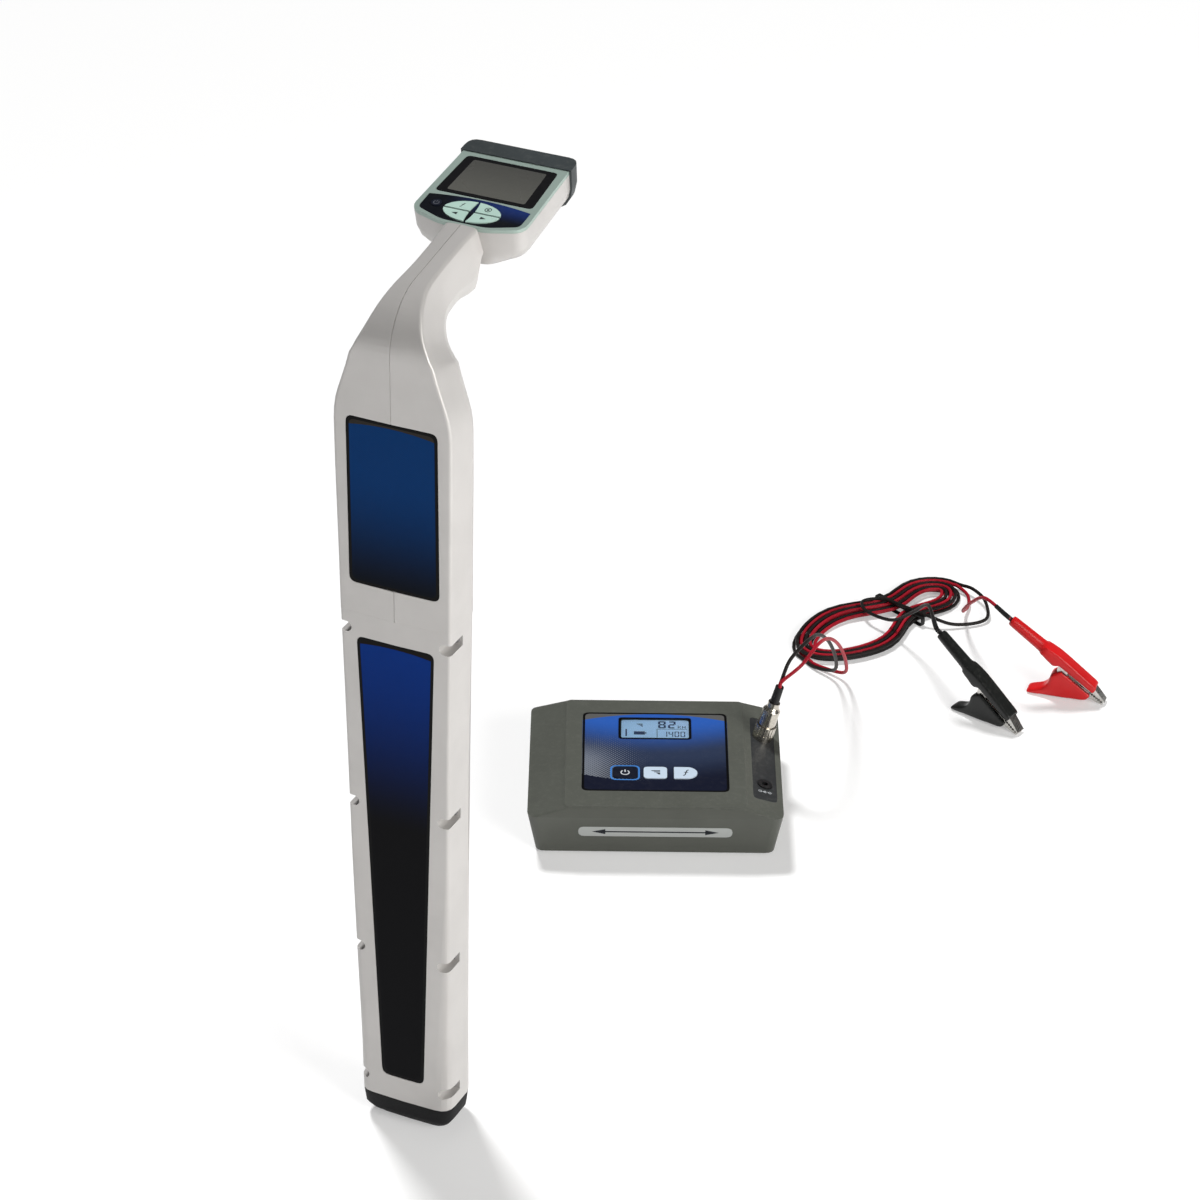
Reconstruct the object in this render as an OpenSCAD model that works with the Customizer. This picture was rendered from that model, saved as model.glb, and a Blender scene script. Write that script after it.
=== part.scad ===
// Cable locator set: a receiver wand, a transmitter box and an output lead with two clips.
// Millimetres, +Z up. The origin is the middle of the flat under the wand's foot,
// the wand's label side faces -Y, and all three things stand on the plane Z = 0.

/* [Wand body] */
// Front to rear depth of the wand
body_depth = 48; // [46:0.5:54]
// Depth of the front shells, from the front face to the parting line
parting_depth = 33; // [31:0.5:35]
// Height of the level seam between the lower and the upper shells
seam_height = 466; // [455:1:485]
// Width at the foot
foot_width = 80; // [77:1:85]
// Width at the seam
seam_width = 93; // [90:1:98]
// Width at the shoulders
shoulder_width = 97; // [94:1:102]
// How much narrower the rear face is on each side
rear_inset = 5; // [4:0.5:8]
// Wall of the wand's shells
shell_wall = 3; // [2.6:0.1:3.4]
// Rise of the front face at its centre line
keel = 0.9; // [0.5:0.1:1.2]
// Height of the rubber foot
foot_height = 24; // [22:0.5:28]
// Height of the flat pad under the foot
pad_height = 1.5; // [1:0.1:2]

/* [Wand neck and grip] */
// Height where the front face starts to bend into the neck
bend_height = 682; // [672:1:700]
// Radius of the bend on the front face
front_bend_radius = 48; // [44:1:54]
// Radius of the bend behind the neck
rear_bend_radius = 24; // [18:1:30]
// Slope of the grip and of the display head
grip_angle = 10; // [8:0.5:13]
// Length of the straight grip, bend to head
grip_length = 74; // [68:1:84]
// Width of the grip
grip_width = 31; // [29:0.5:34]
// Depth of the grip
grip_depth = 42; // [39:0.5:46]

/* [Wand head] */
// Length of the head along its slope
head_length = 105; // [100:1:112]
// Width of the head at its shoulders
head_width = 93; // [90:0.5:98]
// Width of the head at its far end
head_end_width = 87; // [84:0.5:89]
// Thickness of the head
head_depth = 32; // [30:0.5:36]
// Thickness of the frame on top of the head
frame_thickness = 3; // [2.8:0.1:3.4]
// Wall of the head tub
tub_wall = 2.4; // [2:0.1:2.8]
// Length of the rubber bumper on the head's far end
bumper_length = 14; // [12:0.5:18]
// How far the bumper stands proud of the head
bumper_proud = 2; // [1.5:0.1:2.6]
// Length of the display window
window_length = 50; // [47:0.5:52]
// Width of the display window
window_width = 80; // [77:0.5:81]
// Width of the four-way key group
keys_width = 46; // [42:0.5:50]
// Length of the four-way key group
keys_length = 26; // [24:0.5:27]
// Width of the upright gap between the four keys, at its middle
keys_split = 4.4; // [3.6:0.1:5]
// Width of the level gap between the four keys
keys_seam = 1.6; // [1.5:0.1:2]
// Travel of every key
key_travel = 0.8; // [0.6:0.05:0.9]

/* [Wand labels and battery] */
// Width of the upper label
upper_label_width = 75; // [70:0.5:77]
// Height of the upper label
upper_label_height = 139; // [130:1:144]
// Width of the lower label at its top
lower_label_top_width = 65; // [60:0.5:67]
// Width of the lower label at its foot
lower_label_foot_width = 37; // [34:0.5:40]
// Height of the lower label
lower_label_height = 400; // [380:1:403]
// Thickness of a label plate
label_thickness = 1; // [0.8:0.05:1.2]
// Width of the battery door
door_width = 48; // [46:0.5:50]
// Height of the battery door
door_height = 116; // [114:0.5:118]
// Diameter of a battery cell
cell_diameter = 14.2; // [13.8:0.1:14.4]
// Length of a battery cell
cell_length = 50; // [49:0.5:50.5]

/* [Transmitter] */
// Width of the transmitter
box_width = 226; // [220:1:240]
// Depth of the transmitter, front to rear
box_depth = 186; // [180:1:196]
// Height of the transmitter's top
box_height = 52; // [50:0.5:56]
// Width of each sloping shoulder
box_shoulder = 33; // [30:1:36]
// Height of the outer edges of the sloping shoulders
shoulder_height = 42; // [40:0.5:44]
// How far the walls draw in towards the base
base_draw = 7; // [4:0.5:10]
// Wall of the transmitter's cover
cover_wall = 3; // [2.6:0.1:3.4]
// Height of the rubber feet
feet_height = 2.5; // [2:0.1:3]
// Thickness of the base plate
base_thickness = 3; // [2.6:0.1:3.6]
// Turn of the transmitter on the floor
box_turn = 25; // [15:1:35]

/* [Transmitter panel] */
// Level rim of the top at each side of the panel overlay
panel_side = 14.5; // [12:0.5:17]
// Room between the panel overlay and the front and rear walls
panel_end = 27; // [24:0.5:30]
// Width of the transmitter's display window
screen_width = 66; // [62:0.5:70]
// Depth of the transmitter's display window
screen_depth = 37; // [34:0.5:40]
// Width of a transmitter key
box_key_width = 21; // [19:0.5:23]
// Depth of a transmitter key
box_key_depth = 19; // [17:0.5:21]
// Spacing of the transmitter keys
box_key_pitch = 27; // [25:0.5:29]
// Width of the connector plate on the right shoulder
connector_width = 22; // [21:0.5:24]
// Length of the connector plate
connector_length = 136; // [128:1:142]
// Width of the arrow label on the front wall
arrow_width = 136; // [126:1:144]
// Height of the arrow label on the front wall
arrow_height = 11; // [9:0.5:13]

/* [Output plug] */
// Diameter of the coupling ring
ring_diameter = 19; // [18.4:0.1:20]
// Length of the coupling ring
ring_length = 12; // [11:0.5:13]
// Diameter of the plug's barrel
barrel_diameter = 16; // [15.4:0.1:17]
// Length of the plug's barrel above the ring
barrel_length = 24; // [20:0.5:28]
// Length of the shrink sleeve
sleeve_length = 17; // [14:0.5:20]
// Diameter of the threaded socket
socket_diameter = 15; // [14.8:0.1:15.2]

/* [Leads] */
// Diameter of one lead
lead_diameter = 3.4; // [3.2:0.1:3.6]
// Half length of the hank
hank_half_length = 106; // [100:1:112]
// Half width of the hank's loops
hank_half_width = 52; // [50:0.5:56]
// How far the loops draw in at the waist
hank_draw = 23; // [20:0.5:24]
// Step between neighbouring strands of the hank
hank_step = 4.4; // [4.4:0.1:4.6]
// Width of the tie round the waist
tie_width = 5; // [3:0.5:7]

/* [Clips] */
// Length of a clip's jaws from the pivot to the tip
jaw_reach = 50; // [46:1:54]
// Length of a clip's tail from the pivot to the lead
tail_reach = 68; // [62:1:74]
// Width of a clip's boot
boot_width = 16; // [15:0.5:18]
// Width of a clip's metal jaw
jaw_width = 10; // [9:0.5:10.5]
// Diameter of a clip's pivot pin
pin_diameter = 3.2; // [2.8:0.1:3.6]
// How far a clip's lever tab lies behind the pivot
lever_back = 10; // [8:0.5:12]
// How far a clip's lever tab lies below the pivot
lever_drop = 44; // [41:0.5:46]

/* [Fits] */
// Clearance of pieces seated in one another
seat_gap = 0.1; // [0.05:0.05:0.2]
// Clearance round keys and other moving pieces
run_gap = 0.3; // [0.2:0.05:0.4]
// Clearance of a turning bore on its pin
turn_gap = 0.08; // [0.05:0.01:0.1]

/* [Hidden] */
$fn = 40;
overrun = 5;
corner_steps = 4;

// Helpers for curves and lofts
function lerp(a, b, t) = a + (b - a) * t;
function clamped(t) = min(1, max(0, t));
function ease(t) = clamped(t) * clamped(t) * (3 - 2 * clamped(t));
function polar(a) = [cos(a), sin(a)];
function unit(v) = v / norm(v);
function reversed(list) = [for (i = [len(list) - 1 : -1 : 0]) list[i]];

// Points that round the corner b of the path a, b, c, starting r before it
function corner(a, b, c, r) = [
    for (i = [0 : corner_steps])
        let (t = i / corner_steps, p = b + unit(a - b) * r, q = b + unit(c - b) * r)
            p * (1 - t) * (1 - t) + b * 2 * t * (1 - t) + q * t * t
];

// A half path that starts on the centre line, with its other half mirrored before it
function mirrored(path) = concat(
    [for (i = [len(path) - 1 : -1 : 1]) [-path[i][0], path[i][1]]],
    path
);

// A closed outline from its right half, which starts and ends on the centre line
function closed(path) = concat(
    path,
    [for (i = [len(path) - 2 : -1 : 1]) [-path[i][0], path[i][1]]]
);

// One solid over rings of equal count, whose ends are capped by strips between opposite points
module loft(rings) {
    count = len(rings[0]);
    last = len(rings) - 1;
    sides = [
        for (i = [0 : last - 1], j = [0 : count - 1])
            let (k = (j + 1) % count, a = i * count, b = a + count)
                each [[a + j, b + k, a + k], [a + j, b + j, b + k]]
    ];
    strips = [
        for (j = [0 : count / 2 - 2])
            let (m = count - 1 - j)
                each [[j, m - 1, m], [j, j + 1, m - 1]]
    ];
    top = last * count;
    caps = concat(strips, [for (f = strips) [top + f[0], top + f[2], top + f[1]]]);
    polyhedron([for (ring = rings) each ring], concat(sides, caps));
}

// Wand section, across x and depth d from the front face
// A section is [half width at the front, at the parting, at the rear, depth, corner radii front and rear]
front_radius = 3;
foot_radius = 12;
rear_radius = 9;
parting_share = parting_depth / body_depth;

function half_path(centre, bend, edge, r) = concat([centre], corner(centre, bend, edge, r), [edge]);
function front_half(s, in) =
    half_path([0, in - keel], [s[0] - in, in], [s[1] - in, s[3] * parting_share], s[4]);
function rear_half(s, in) =
    half_path([0, s[3] - in], [s[2] - in, s[3] - in], [s[1] - in, s[3] * parting_share], s[5]);
function shell_ring(outer, inner) = concat(mirrored(outer), reversed(mirrored(inner)));
function front_ring(s) = shell_ring(front_half(s, 0), front_half(s, shell_wall));
function rear_ring(s) = shell_ring(rear_half(s, shell_wall), rear_half(s, 0));
function full_ring(s, in) =
    let (front = mirrored(front_half(s, in)), rear = mirrored(rear_half(s, in)))
        concat(front, [for (i = [len(rear) - 2 : -1 : 1]) rear[i]]);

// A station is [front point, rear point, section], with points in y and z
function placed(station, ring) =
    let (f = station[0], u = unit(station[1] - station[0]))
        [for (p = ring) [p[0], f[0] + u[0] * p[1], f[1] + u[1] * p[1]]];

front_y = -body_depth / 2;
rear_y = body_depth / 2;

// Lower body
lower_stations_share = [0, 0.12, 0.3, 0.5, 0.7, 0.86, 1];
lower_growth = 1.6;
function lower_share(z) = clamped((z - foot_height) / (seam_height - foot_height));
function lower_half(z) = lerp(foot_width, seam_width, pow(lower_share(z), lower_growth)) / 2;
function lower_section(z) =
    let (half = lower_half(z))
        [half, half, half - rear_inset, body_depth,
            lerp(foot_radius, front_radius, ease(lower_share(z) * 2)), rear_radius];
function lower_station(z) = [[front_y, z], [rear_y, z], lower_section(z)];
lower_stations = [for (t = lower_stations_share) lower_station(lerp(foot_height, seam_height, t))];

// Upper body and neck, from the seam to the head
// Places along it run from 0 at the seam, by 1 and 2 at the ends of the bend, to 3 at the head
grip_run = polar(grip_angle);
grip_down = [sin(grip_angle), -cos(grip_angle)];
bend_end = 90 + grip_angle;
front_bend_centre = [front_y + front_bend_radius, bend_height];
front_run_start = front_bend_centre + front_bend_radius * polar(bend_end);
neck_end = front_run_start + grip_run * grip_length;
head_at = neck_end + grip_run * seat_gap;
rear_run_end = neck_end + grip_down * grip_depth;
rear_bend_y = rear_y + rear_bend_radius;
rear_bend_height = rear_run_end[1] - rear_bend_radius * sin(bend_end)
    - (rear_run_end[0] - rear_bend_y - rear_bend_radius * cos(bend_end)) * tan(grip_angle);
rear_bend_centre = [rear_bend_y, rear_bend_height];
rear_run_start = rear_bend_centre + rear_bend_radius * polar(bend_end);
finger_stop = 7;
neck_end_depth = 29;
stop_share = 0.8;
stop_start_share = 0.3;
function neck_swell(t) =
    t <= stop_share ? finger_stop * ease((t / stop_share - stop_start_share) / (1 - stop_start_share))
    : lerp(finger_stop, neck_end_depth - grip_depth, ease((t - stop_share) / (1 - stop_share)));

function neck_front(t) =
    t <= 1 ? [front_y, lerp(seam_height, bend_height, t)]
    : t <= 2 ? front_bend_centre + front_bend_radius * polar(lerp(180, bend_end, t - 1))
    : front_run_start + grip_run * grip_length * (t - 2);
function neck_rear(t) =
    t <= 1 ? [rear_y, lerp(seam_height, rear_bend_height, t)]
    : t <= 2 ? rear_bend_centre + rear_bend_radius * polar(lerp(180, bend_end, t - 1))
    : lerp(rear_run_start, rear_run_end, t - 2) + grip_down * neck_swell(t - 2);

// Width along the neck as shares from the grip (0) to the shoulders (1)
neck_places = [0, 0.4, 0.74, 0.82, 0.9, 1, 1.15, 1.3, 1.45, 1.6, 1.8, 2, 2.3, 2.55, 2.8, 2.9, 3];
neck_width_shares =
    [0.95, 0.98, 1, 0.95, 0.8, 0.62, 0.48, 0.35, 0.25, 0.17, 0.08, 0.03, 0, 0, 0.01, 0.02, 0.03];
grip_lean = 3.6;
grip_radius = 6;
function neck_section(half, depth, share) =
    [half - lerp(grip_lean, 0, share), half, half - lerp(grip_lean, rear_inset, share), depth,
        front_radius, lerp(grip_radius, rear_radius, share)];
function neck_station(f, r, share) =
    [f, r, neck_section(lerp(grip_width, shoulder_width, share) / 2, norm(r - f), share)];

neck_last = len(neck_places) - 1;
neck_fine = 2;
// Slope of the width at a listed place, from its neighbours
function neck_slope(k) =
    k == 0 || k == neck_last ? 0
    : (neck_width_shares[k + 1] - neck_width_shares[k - 1]) / (neck_places[k + 1] - neck_places[k - 1]);
// Width share between two listed places, on a curve that keeps both slopes
function neck_share(k, u) =
    let (run = neck_places[k + 1] - neck_places[k])
        lerp(neck_width_shares[k], neck_width_shares[k + 1], ease(u))
        + u * (1 - u) * run * (neck_slope(k) * (1 - u) - neck_slope(k + 1) * u);
function neck_at(t, share) = neck_station(neck_front(t), neck_rear(t), clamped(share));
neck_stations = concat(
    [for (k = [0 : neck_last - 1], j = [0 : neck_fine - 1])
        neck_at(lerp(neck_places[k], neck_places[k + 1], j / neck_fine), neck_share(k, j / neck_fine))],
    [neck_at(neck_places[neck_last], neck_width_shares[neck_last])]
);

// Seam groove along the ridge of the front face
groove_width = 0.7;
groove_depth = 0.5;
groove_runout = 0.03;
groove_stations = concat(
    [neck_at(-groove_runout, neck_width_shares[0])],
    [for (k = [0 : neck_last - 1], j = [0 : neck_fine - 1])
        let (u = (j + 1 / 2) / neck_fine)
            neck_at(lerp(neck_places[k], neck_places[k + 1], u), neck_share(k, u))],
    [neck_at(neck_places[neck_last] + groove_runout, neck_width_shares[neck_last])]
);
groove_ring = [
    [-groove_width / 2, -keel - groove_depth], [groove_width / 2, -keel - groove_depth],
    [groove_width / 2, groove_depth - keel], [-groove_width / 2, groove_depth - keel]
];

// Screw pockets in the lower shells
pocket_radius = 4.4;
pocket_wall = 2;
pocket_inset = 5;
pocket_depth = 20;
pocket_height_shares = [0.97, 0.64, 0.352, 0.086];
screw_radius = 1.5;
screw_head_radius = 2.8;
screw_head_height = 2.2;
screw_length = 18;
screw_bite = 0.05;
pocket_heights = [for (s = pocket_height_shares) seam_height * s];
function pocket_x(z) = lower_half(z) - pocket_inset;
pocket_floor_y = front_y + pocket_depth;

module at_pockets() {
    for (z = pocket_heights, side = [-1, 1])
        translate([side * pocket_x(z), pocket_floor_y, z]) mirror([side < 0 ? 1 : 0, 0, 0]) children();
}

// A pocket along the depth of the wand, round inside and open to the side
function pocket_outline(r) = concat(
    [for (i = [0 : 2 * corner_steps]) r * polar(lerp(90, 270, i / (2 * corner_steps)))],
    [[2 * pocket_inset, -r], [2 * pocket_inset, r]]
);
module pocket(radius, from, to) {
    translate([0, from, 0]) rotate([-90, 0, 0]) linear_extrude(to - from) polygon(pocket_outline(radius));
}

// A round bar along +y
module bar_y(radius, from, to) {
    translate([0, from, 0]) rotate([-90, 0, 0]) cylinder(r = radius, h = to - from);
}

// Labels, outlines across x and z
label_radius = 6;
label_rise = 0.3;
upper_label_foot = 26;
lower_label_drop = 20;
label_floor_y = front_y - label_rise + label_thickness;
upper_label_z = seam_height + upper_label_foot;
lower_label_top_z = seam_height - lower_label_drop;
lower_label_z = lower_label_top_z - lower_label_height;

function plate_outline(foot_half, top_half, z0, z1, r) = closed(concat(
    [[0, z0]],
    corner([0, z0], [foot_half, z0], [top_half, z1], r),
    corner([foot_half, z0], [top_half, z1], [0, z1], r),
    [[0, z1]]
));
module label_plate(foot_w, top_w, z0, z1, grow, front) {
    translate([0, label_floor_y, 0]) rotate([90, 0, 0]) linear_extrude(front)
        polygon(plate_outline(foot_w / 2 + grow, top_w / 2 + grow, z0 - grow, z1 + grow, label_radius));
}
module upper_label_cut() {
    label_plate(upper_label_width, upper_label_width, upper_label_z, upper_label_z + upper_label_height,
        seat_gap, overrun);
}
module lower_label_cut() {
    label_plate(lower_label_foot_width, lower_label_top_width, lower_label_z, lower_label_top_z,
        seat_gap, overrun);
}

// Battery bay behind the upper body
door_foot = 32;
door_z = seam_height + door_foot;
door_ledge = 4;
door_radius = 4;
tray_flange = 4;
tray_flange_thickness = 2;
tray_wall = 1.6;
cell_gap = 0.2;
cell_split = 0.6;
inner_rear_y = rear_y - shell_wall;
bay_half = door_width / 2 - door_ledge;
bay_z = door_z + door_ledge;
bay_height = door_height - 2 * door_ledge;
bay_depth = cell_diameter + 2 * cell_gap;
bay_floor_y = inner_rear_y - tray_flange_thickness - bay_depth;
function door_outline(grow) =
    plate_outline(door_width / 2 + grow, door_width / 2 + grow, door_z - grow, door_z + door_height + grow,
        door_radius);

// Antenna board and coils inside the lower body
antenna_width = 30;
antenna_thickness = 1.6;
antenna_foot = 34;
antenna_top = 30;
antenna_post_radius = 3;
antenna_post_shares = [0.24, 0.78];
rod_radius = 4;
rod_length = 58;
winding_radius = 7;
winding_length = 34;
coil_saddle = 8;
coil_shares = [0.1, 0.92];
antenna_y = 0;

// Head, in its own frame: x across, y along the slope, z up from the top face
nose_flare = 3;
nose_half = grip_width / 2 + nose_flare;
nose_drop = 9;
nose_share = 0.12;
nose_round = 6;
shoulder_round = 9;
end_round = 9;
head_edge = 11;
function head_half_path(in) =
    let (a = [0, in * nose_share], b = [nose_half, in * nose_share],
        c = [head_width / 2 - in, nose_drop + in],
        d = [head_end_width / 2 - in, head_length - in], e = [0, head_length - in])
        concat([a], corner(a, b, c, nose_round), corner(b, c, d, shoulder_round),
            corner(c, d, e, end_round), [e]);
function head_ring(in, z) = [for (p = closed(head_half_path(in))) [p[0], p[1], z]];
head_level_shares = [0, 0.45, 0.7, 0.9, 1];
head_inset_shares = [0, 0.04, 0.2, 0.6, 1];
function head_rings(in, top, bottom) = [
    for (i = [len(head_level_shares) - 1 : -1 : 0])
        head_ring(in + head_edge * head_inset_shares[i], lerp(top, bottom, head_level_shares[i]))
];
module in_head() {
    translate([0, head_at[0], head_at[1]]) rotate([grip_angle, 0, 0]) children();
}

// Display window and keypad on the head
window_rim = 5;
window_thickness = 1.4;
window_ledge = 2.5;
window_radius = 4;
window_taper_share = 0.94;
window_end = head_length - bumper_length - window_rim;
window_start = window_end - window_length;
function window_outline(grow) =
    plate_outline(window_width / 2 + grow, window_width * window_taper_share / 2 + grow,
        window_start - grow, window_end + grow, window_radius);
overlay_thickness = 1;
overlay_rim = 3;
overlay_gap = 1.6;
overlay_arc = 4;
overlay_round = 4;
overlay_steps = 8;
overlay_top = window_start - overlay_gap;
overlay_side = 5;
overlay_half = head_width / 2 - overlay_side;
function overlay_half_path(in) =
    let (a = [0, overlay_rim + in], b = [nose_half - in / 2, overlay_rim + in],
        c = [overlay_half - in, overlay_rim + nose_drop + in],
        d = [overlay_half - in, overlay_top - overlay_arc - in])
        concat([a], corner(a, b, c, nose_round), corner(b, c, d, overlay_round),
            [for (i = [0 : overlay_steps])
                let (t = 1 - i / overlay_steps) [d[0] * t, d[1] + overlay_arc * (1 - t * t)]]);
key_proud = 0.8;
key_skirt = 1.2;
keys_margin = 1.5;
keys_centre = overlay_rim + keys_length / 2 + keys_margin;
key_arc_steps = 6;
power_key_radius = 4.2;
power_key_gap = 3.4;
power_key_x = -keys_width / 2 - power_key_gap - power_key_radius;
power_key_y = overlay_rim + nose_drop + 2 * power_key_radius;

// One quarter of the oval key group; the upright gap is a leaf, widest at the middle
function quarter_outline(grow) =
    let (rx = keys_width / 2 + grow, ry = keys_length / 2 + grow, g = keys_seam / 2 - grow,
        a0 = asin(g / ry), a1 = acos(g / rx), top = ry * sin(a1), leaf = (keys_split - keys_seam) / 2)
        concat(
            [for (i = [0 : key_arc_steps])
                let (a = lerp(a0, a1, i / key_arc_steps)) [rx * cos(a), ry * sin(a)]],
            [for (i = [1 : key_arc_steps])
                let (y = lerp(top, g, i / key_arc_steps)) [g + leaf * (1 - pow(y / top, 2)), y]]);
module quarter(turn, grow) {
    translate([0, keys_centre])
        mirror([turn == 1 || turn == 2 ? 1 : 0, 0]) mirror([0, turn >= 2 ? 1 : 0])
            polygon(quarter_outline(grow));
}
module power_disc(grow) {
    translate([power_key_x, power_key_y]) circle(r = power_key_radius + grow);
}
module key_outlines(grow) {
    for (turn = [0 : 3]) quarter(turn, grow);
    power_disc(grow);
}
key_foot = -frame_thickness - key_skirt;
switch_size = 6;
switch_top = key_foot - key_travel - seat_gap;
switch_height = 2.4;
board_thickness = 1.6;
board_top = switch_top - switch_height;
board_margin = 5;
board_post_radius = 3;
board_x = head_end_width / 2 - tub_wall - board_margin - head_edge / 3;
board_y0 = overlay_rim + nose_drop + tub_wall;
board_y1 = head_length - bumper_length;
board_post_x = board_x - board_post_radius;
board_post_y = [board_y0 + 2 * board_post_radius, board_y1 - 2 * board_post_radius];
panel_gap = 0.2;
sounder_radius = 7;
sounder_height = 5;
key_places = concat(
    [for (turn = [0 : 3])
        [(turn == 1 || turn == 2 ? -1 : 1) * keys_width / 4,
            keys_centre + (turn >= 2 ? -1 : 1) * keys_length / 4]],
    [[power_key_x, power_key_y]]
);

// Wand modules
module rx_lower_front_shell() {
    color("Silver") difference() {
        union() {
            loft([for (s = lower_stations) placed(s, front_ring(s[2]))]);
            intersection() {
                at_pockets() pocket(pocket_radius + pocket_wall, -pocket_depth - keel,
                    parting_depth - pocket_depth);
                loft([for (s = lower_stations) placed(s, full_ring(s[2], 0))]);
            }
        }
        at_pockets() pocket(pocket_radius, -pocket_depth - overrun, 0);
        at_pockets() bar_y(screw_radius + run_gap, -overrun, body_depth);
        lower_label_cut();
    }
}

module rx_lower_rear_shell() {
    boss_radius = 2 * screw_radius + pocket_wall / 2;
    color("Silver") difference() {
        union() {
            loft([for (s = lower_stations) placed(s, rear_ring(s[2]))]);
            intersection() {
                at_pockets() bar_y(boss_radius, parting_depth - pocket_depth, body_depth - pocket_depth);
                loft([for (s = lower_stations) placed(s, full_ring(s[2], shell_wall / 2))]);
            }
            for (s = antenna_post_shares)
                translate([0, 0, lerp(foot_height, seam_height, s)])
                    bar_y(antenna_post_radius, antenna_y + antenna_thickness / 2, rear_y - shell_wall / 2);
        }
        at_pockets() bar_y(screw_radius + screw_bite, 0, screw_length + overrun / 2);
    }
}

module rx_upper_front_shell() {
    color("Silver") difference() {
        loft([for (s = neck_stations) placed(s, front_ring(s[2]))]);
        loft([for (s = groove_stations) placed(s, groove_ring)]);
        upper_label_cut();
    }
}

module rx_upper_rear_shell() {
    color("Silver") difference() {
        loft([for (s = neck_stations) placed(s, rear_ring(s[2]))]);
        translate([0, rear_y + overrun, 0]) rotate([90, 0, 0])
            linear_extrude(overrun + 2 * shell_wall) polygon(door_outline(seat_gap));
    }
}

foot_level_shares = [0, 0.14, 0.42, 1];
foot_inset_shares = [1, 0.55, 0.14, 0];
foot_edge = 10;
foot_plug = 3;
// The foot's rings follow the body's lowest section, drawn in towards the middle
function foot_ring(in, z) =
    [for (p = full_ring(lower_section(foot_height), 0))
        [p[0] * (1 - 2 * in / foot_width), (front_y + p[1]) * (1 - 2 * in / body_depth), z]];
function plug_ring(z) =
    [for (p = full_ring(lower_section(foot_height), shell_wall + seat_gap)) [p[0], front_y + p[1], z]];

module rx_foot_boot() {
    color("DimGray") {
        loft(concat([foot_ring(foot_edge, 0)], [for (i = [0 : len(foot_level_shares) - 1])
            foot_ring(foot_edge * foot_inset_shares[i],
                lerp(pad_height, foot_height, foot_level_shares[i]))]));
        loft([plug_ring(foot_height), plug_ring(foot_height + foot_plug)]);
    }
}

module rx_head_tub() {
    color("Gainsboro") in_head() {
        difference() {
            loft(head_rings(0, -frame_thickness, -head_depth));
            translate([0, 0, overrun]) loft([
                for (ring = head_rings(tub_wall, -frame_thickness, -head_depth - overrun + tub_wall)) ring
            ]);
        }
        for (x = [-board_post_x, board_post_x], y = board_post_y)
            translate([x, y, -head_depth + tub_wall / 2])
                cylinder(r = board_post_radius, h = board_top - board_thickness + head_depth - tub_wall / 2);
    }
}

module rx_head_frame() {
    color("LightGray") in_head() difference() {
        translate([0, 0, -frame_thickness]) linear_extrude(frame_thickness)
            polygon(closed(head_half_path(0)));
        translate([0, 0, -window_thickness]) linear_extrude(overrun) polygon(window_outline(seat_gap));
        translate([0, 0, -overrun]) linear_extrude(2 * overrun) polygon(window_outline(-window_ledge));
        translate([0, 0, -overlay_thickness]) linear_extrude(overrun)
            polygon(closed(overlay_half_path(-seat_gap)));
        translate([0, 0, -overrun]) linear_extrude(2 * overrun) key_outlines(run_gap);
    }
}

module rx_end_bumper() {
    color("DarkSlateGray") in_head() difference() {
        intersection() {
            loft(head_rings(-bumper_proud, bumper_proud / 2, -head_depth - bumper_proud));
            translate([-head_width, head_length - bumper_length, -2 * head_depth])
                cube([2 * head_width, head_length, 3 * head_depth]);
        }
        loft(head_rings(-seat_gap, -frame_thickness, -head_depth - seat_gap));
        translate([0, 0, -frame_thickness]) linear_extrude(frame_thickness + seat_gap)
            polygon(closed(head_half_path(-seat_gap)));
    }
}

module rx_display_window() {
    color("Black") in_head() translate([0, 0, -window_thickness])
        linear_extrude(window_thickness) polygon(window_outline(0));
}

module rx_display_panel() {
    top = -window_thickness - panel_gap;
    color("Gray") in_head() translate([0, 0, board_top])
        linear_extrude(top - board_top) polygon(window_outline(-window_ledge - 2 * seat_gap));
}

module rx_keypad_overlay() {
    color("MidnightBlue") in_head() translate([0, 0, -overlay_thickness]) linear_extrude(overlay_thickness)
        difference() {
            polygon(closed(overlay_half_path(0)));
            key_outlines(run_gap);
        }
}

// A key of the head: its outline from the skirt to the proud face
module head_key() {
    in_head() translate([0, 0, key_foot]) linear_extrude(key_proud - key_foot) children();
}
module rx_key_mode() { color("Honeydew") head_key() quarter(0, 0); }
module rx_key_frequency() { color("Honeydew") head_key() quarter(1, 0); }
module rx_key_left() { color("Honeydew") head_key() quarter(2, 0); }
module rx_key_right() { color("Honeydew") head_key() quarter(3, 0); }
module rx_key_power() { color("SlateBlue") head_key() power_disc(0); }

// A board with the key switches soldered to it, and a tongue under the front keys
tongue_start = keys_centre - keys_length / 4 - switch_size / 2 - seat_gap;
tongue_half = keys_width / 4 + switch_size / 2 + seat_gap;
module rx_main_board() {
    color("DarkGreen") in_head() {
        translate([-board_x, board_y0, board_top - board_thickness])
            cube([2 * board_x, board_y1 - board_y0, board_thickness]);
        translate([-tongue_half, tongue_start, board_top - board_thickness])
            cube([2 * tongue_half, 2 * overrun + board_y0 - tongue_start, board_thickness]);
        for (p = key_places)
            translate([p[0] - switch_size / 2, p[1] - switch_size / 2, board_top])
                cube([switch_size, switch_size, switch_height]);
    }
}

module rx_sounder() {
    color("Black") in_head()
        translate([0, (board_y0 + board_y1) / 2, board_top - board_thickness - sounder_height])
            cylinder(r = sounder_radius, h = sounder_height);
}

module rx_upper_label() {
    color("Navy") label_plate(upper_label_width, upper_label_width, upper_label_z,
        upper_label_z + upper_label_height, 0, label_thickness);
}

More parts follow.
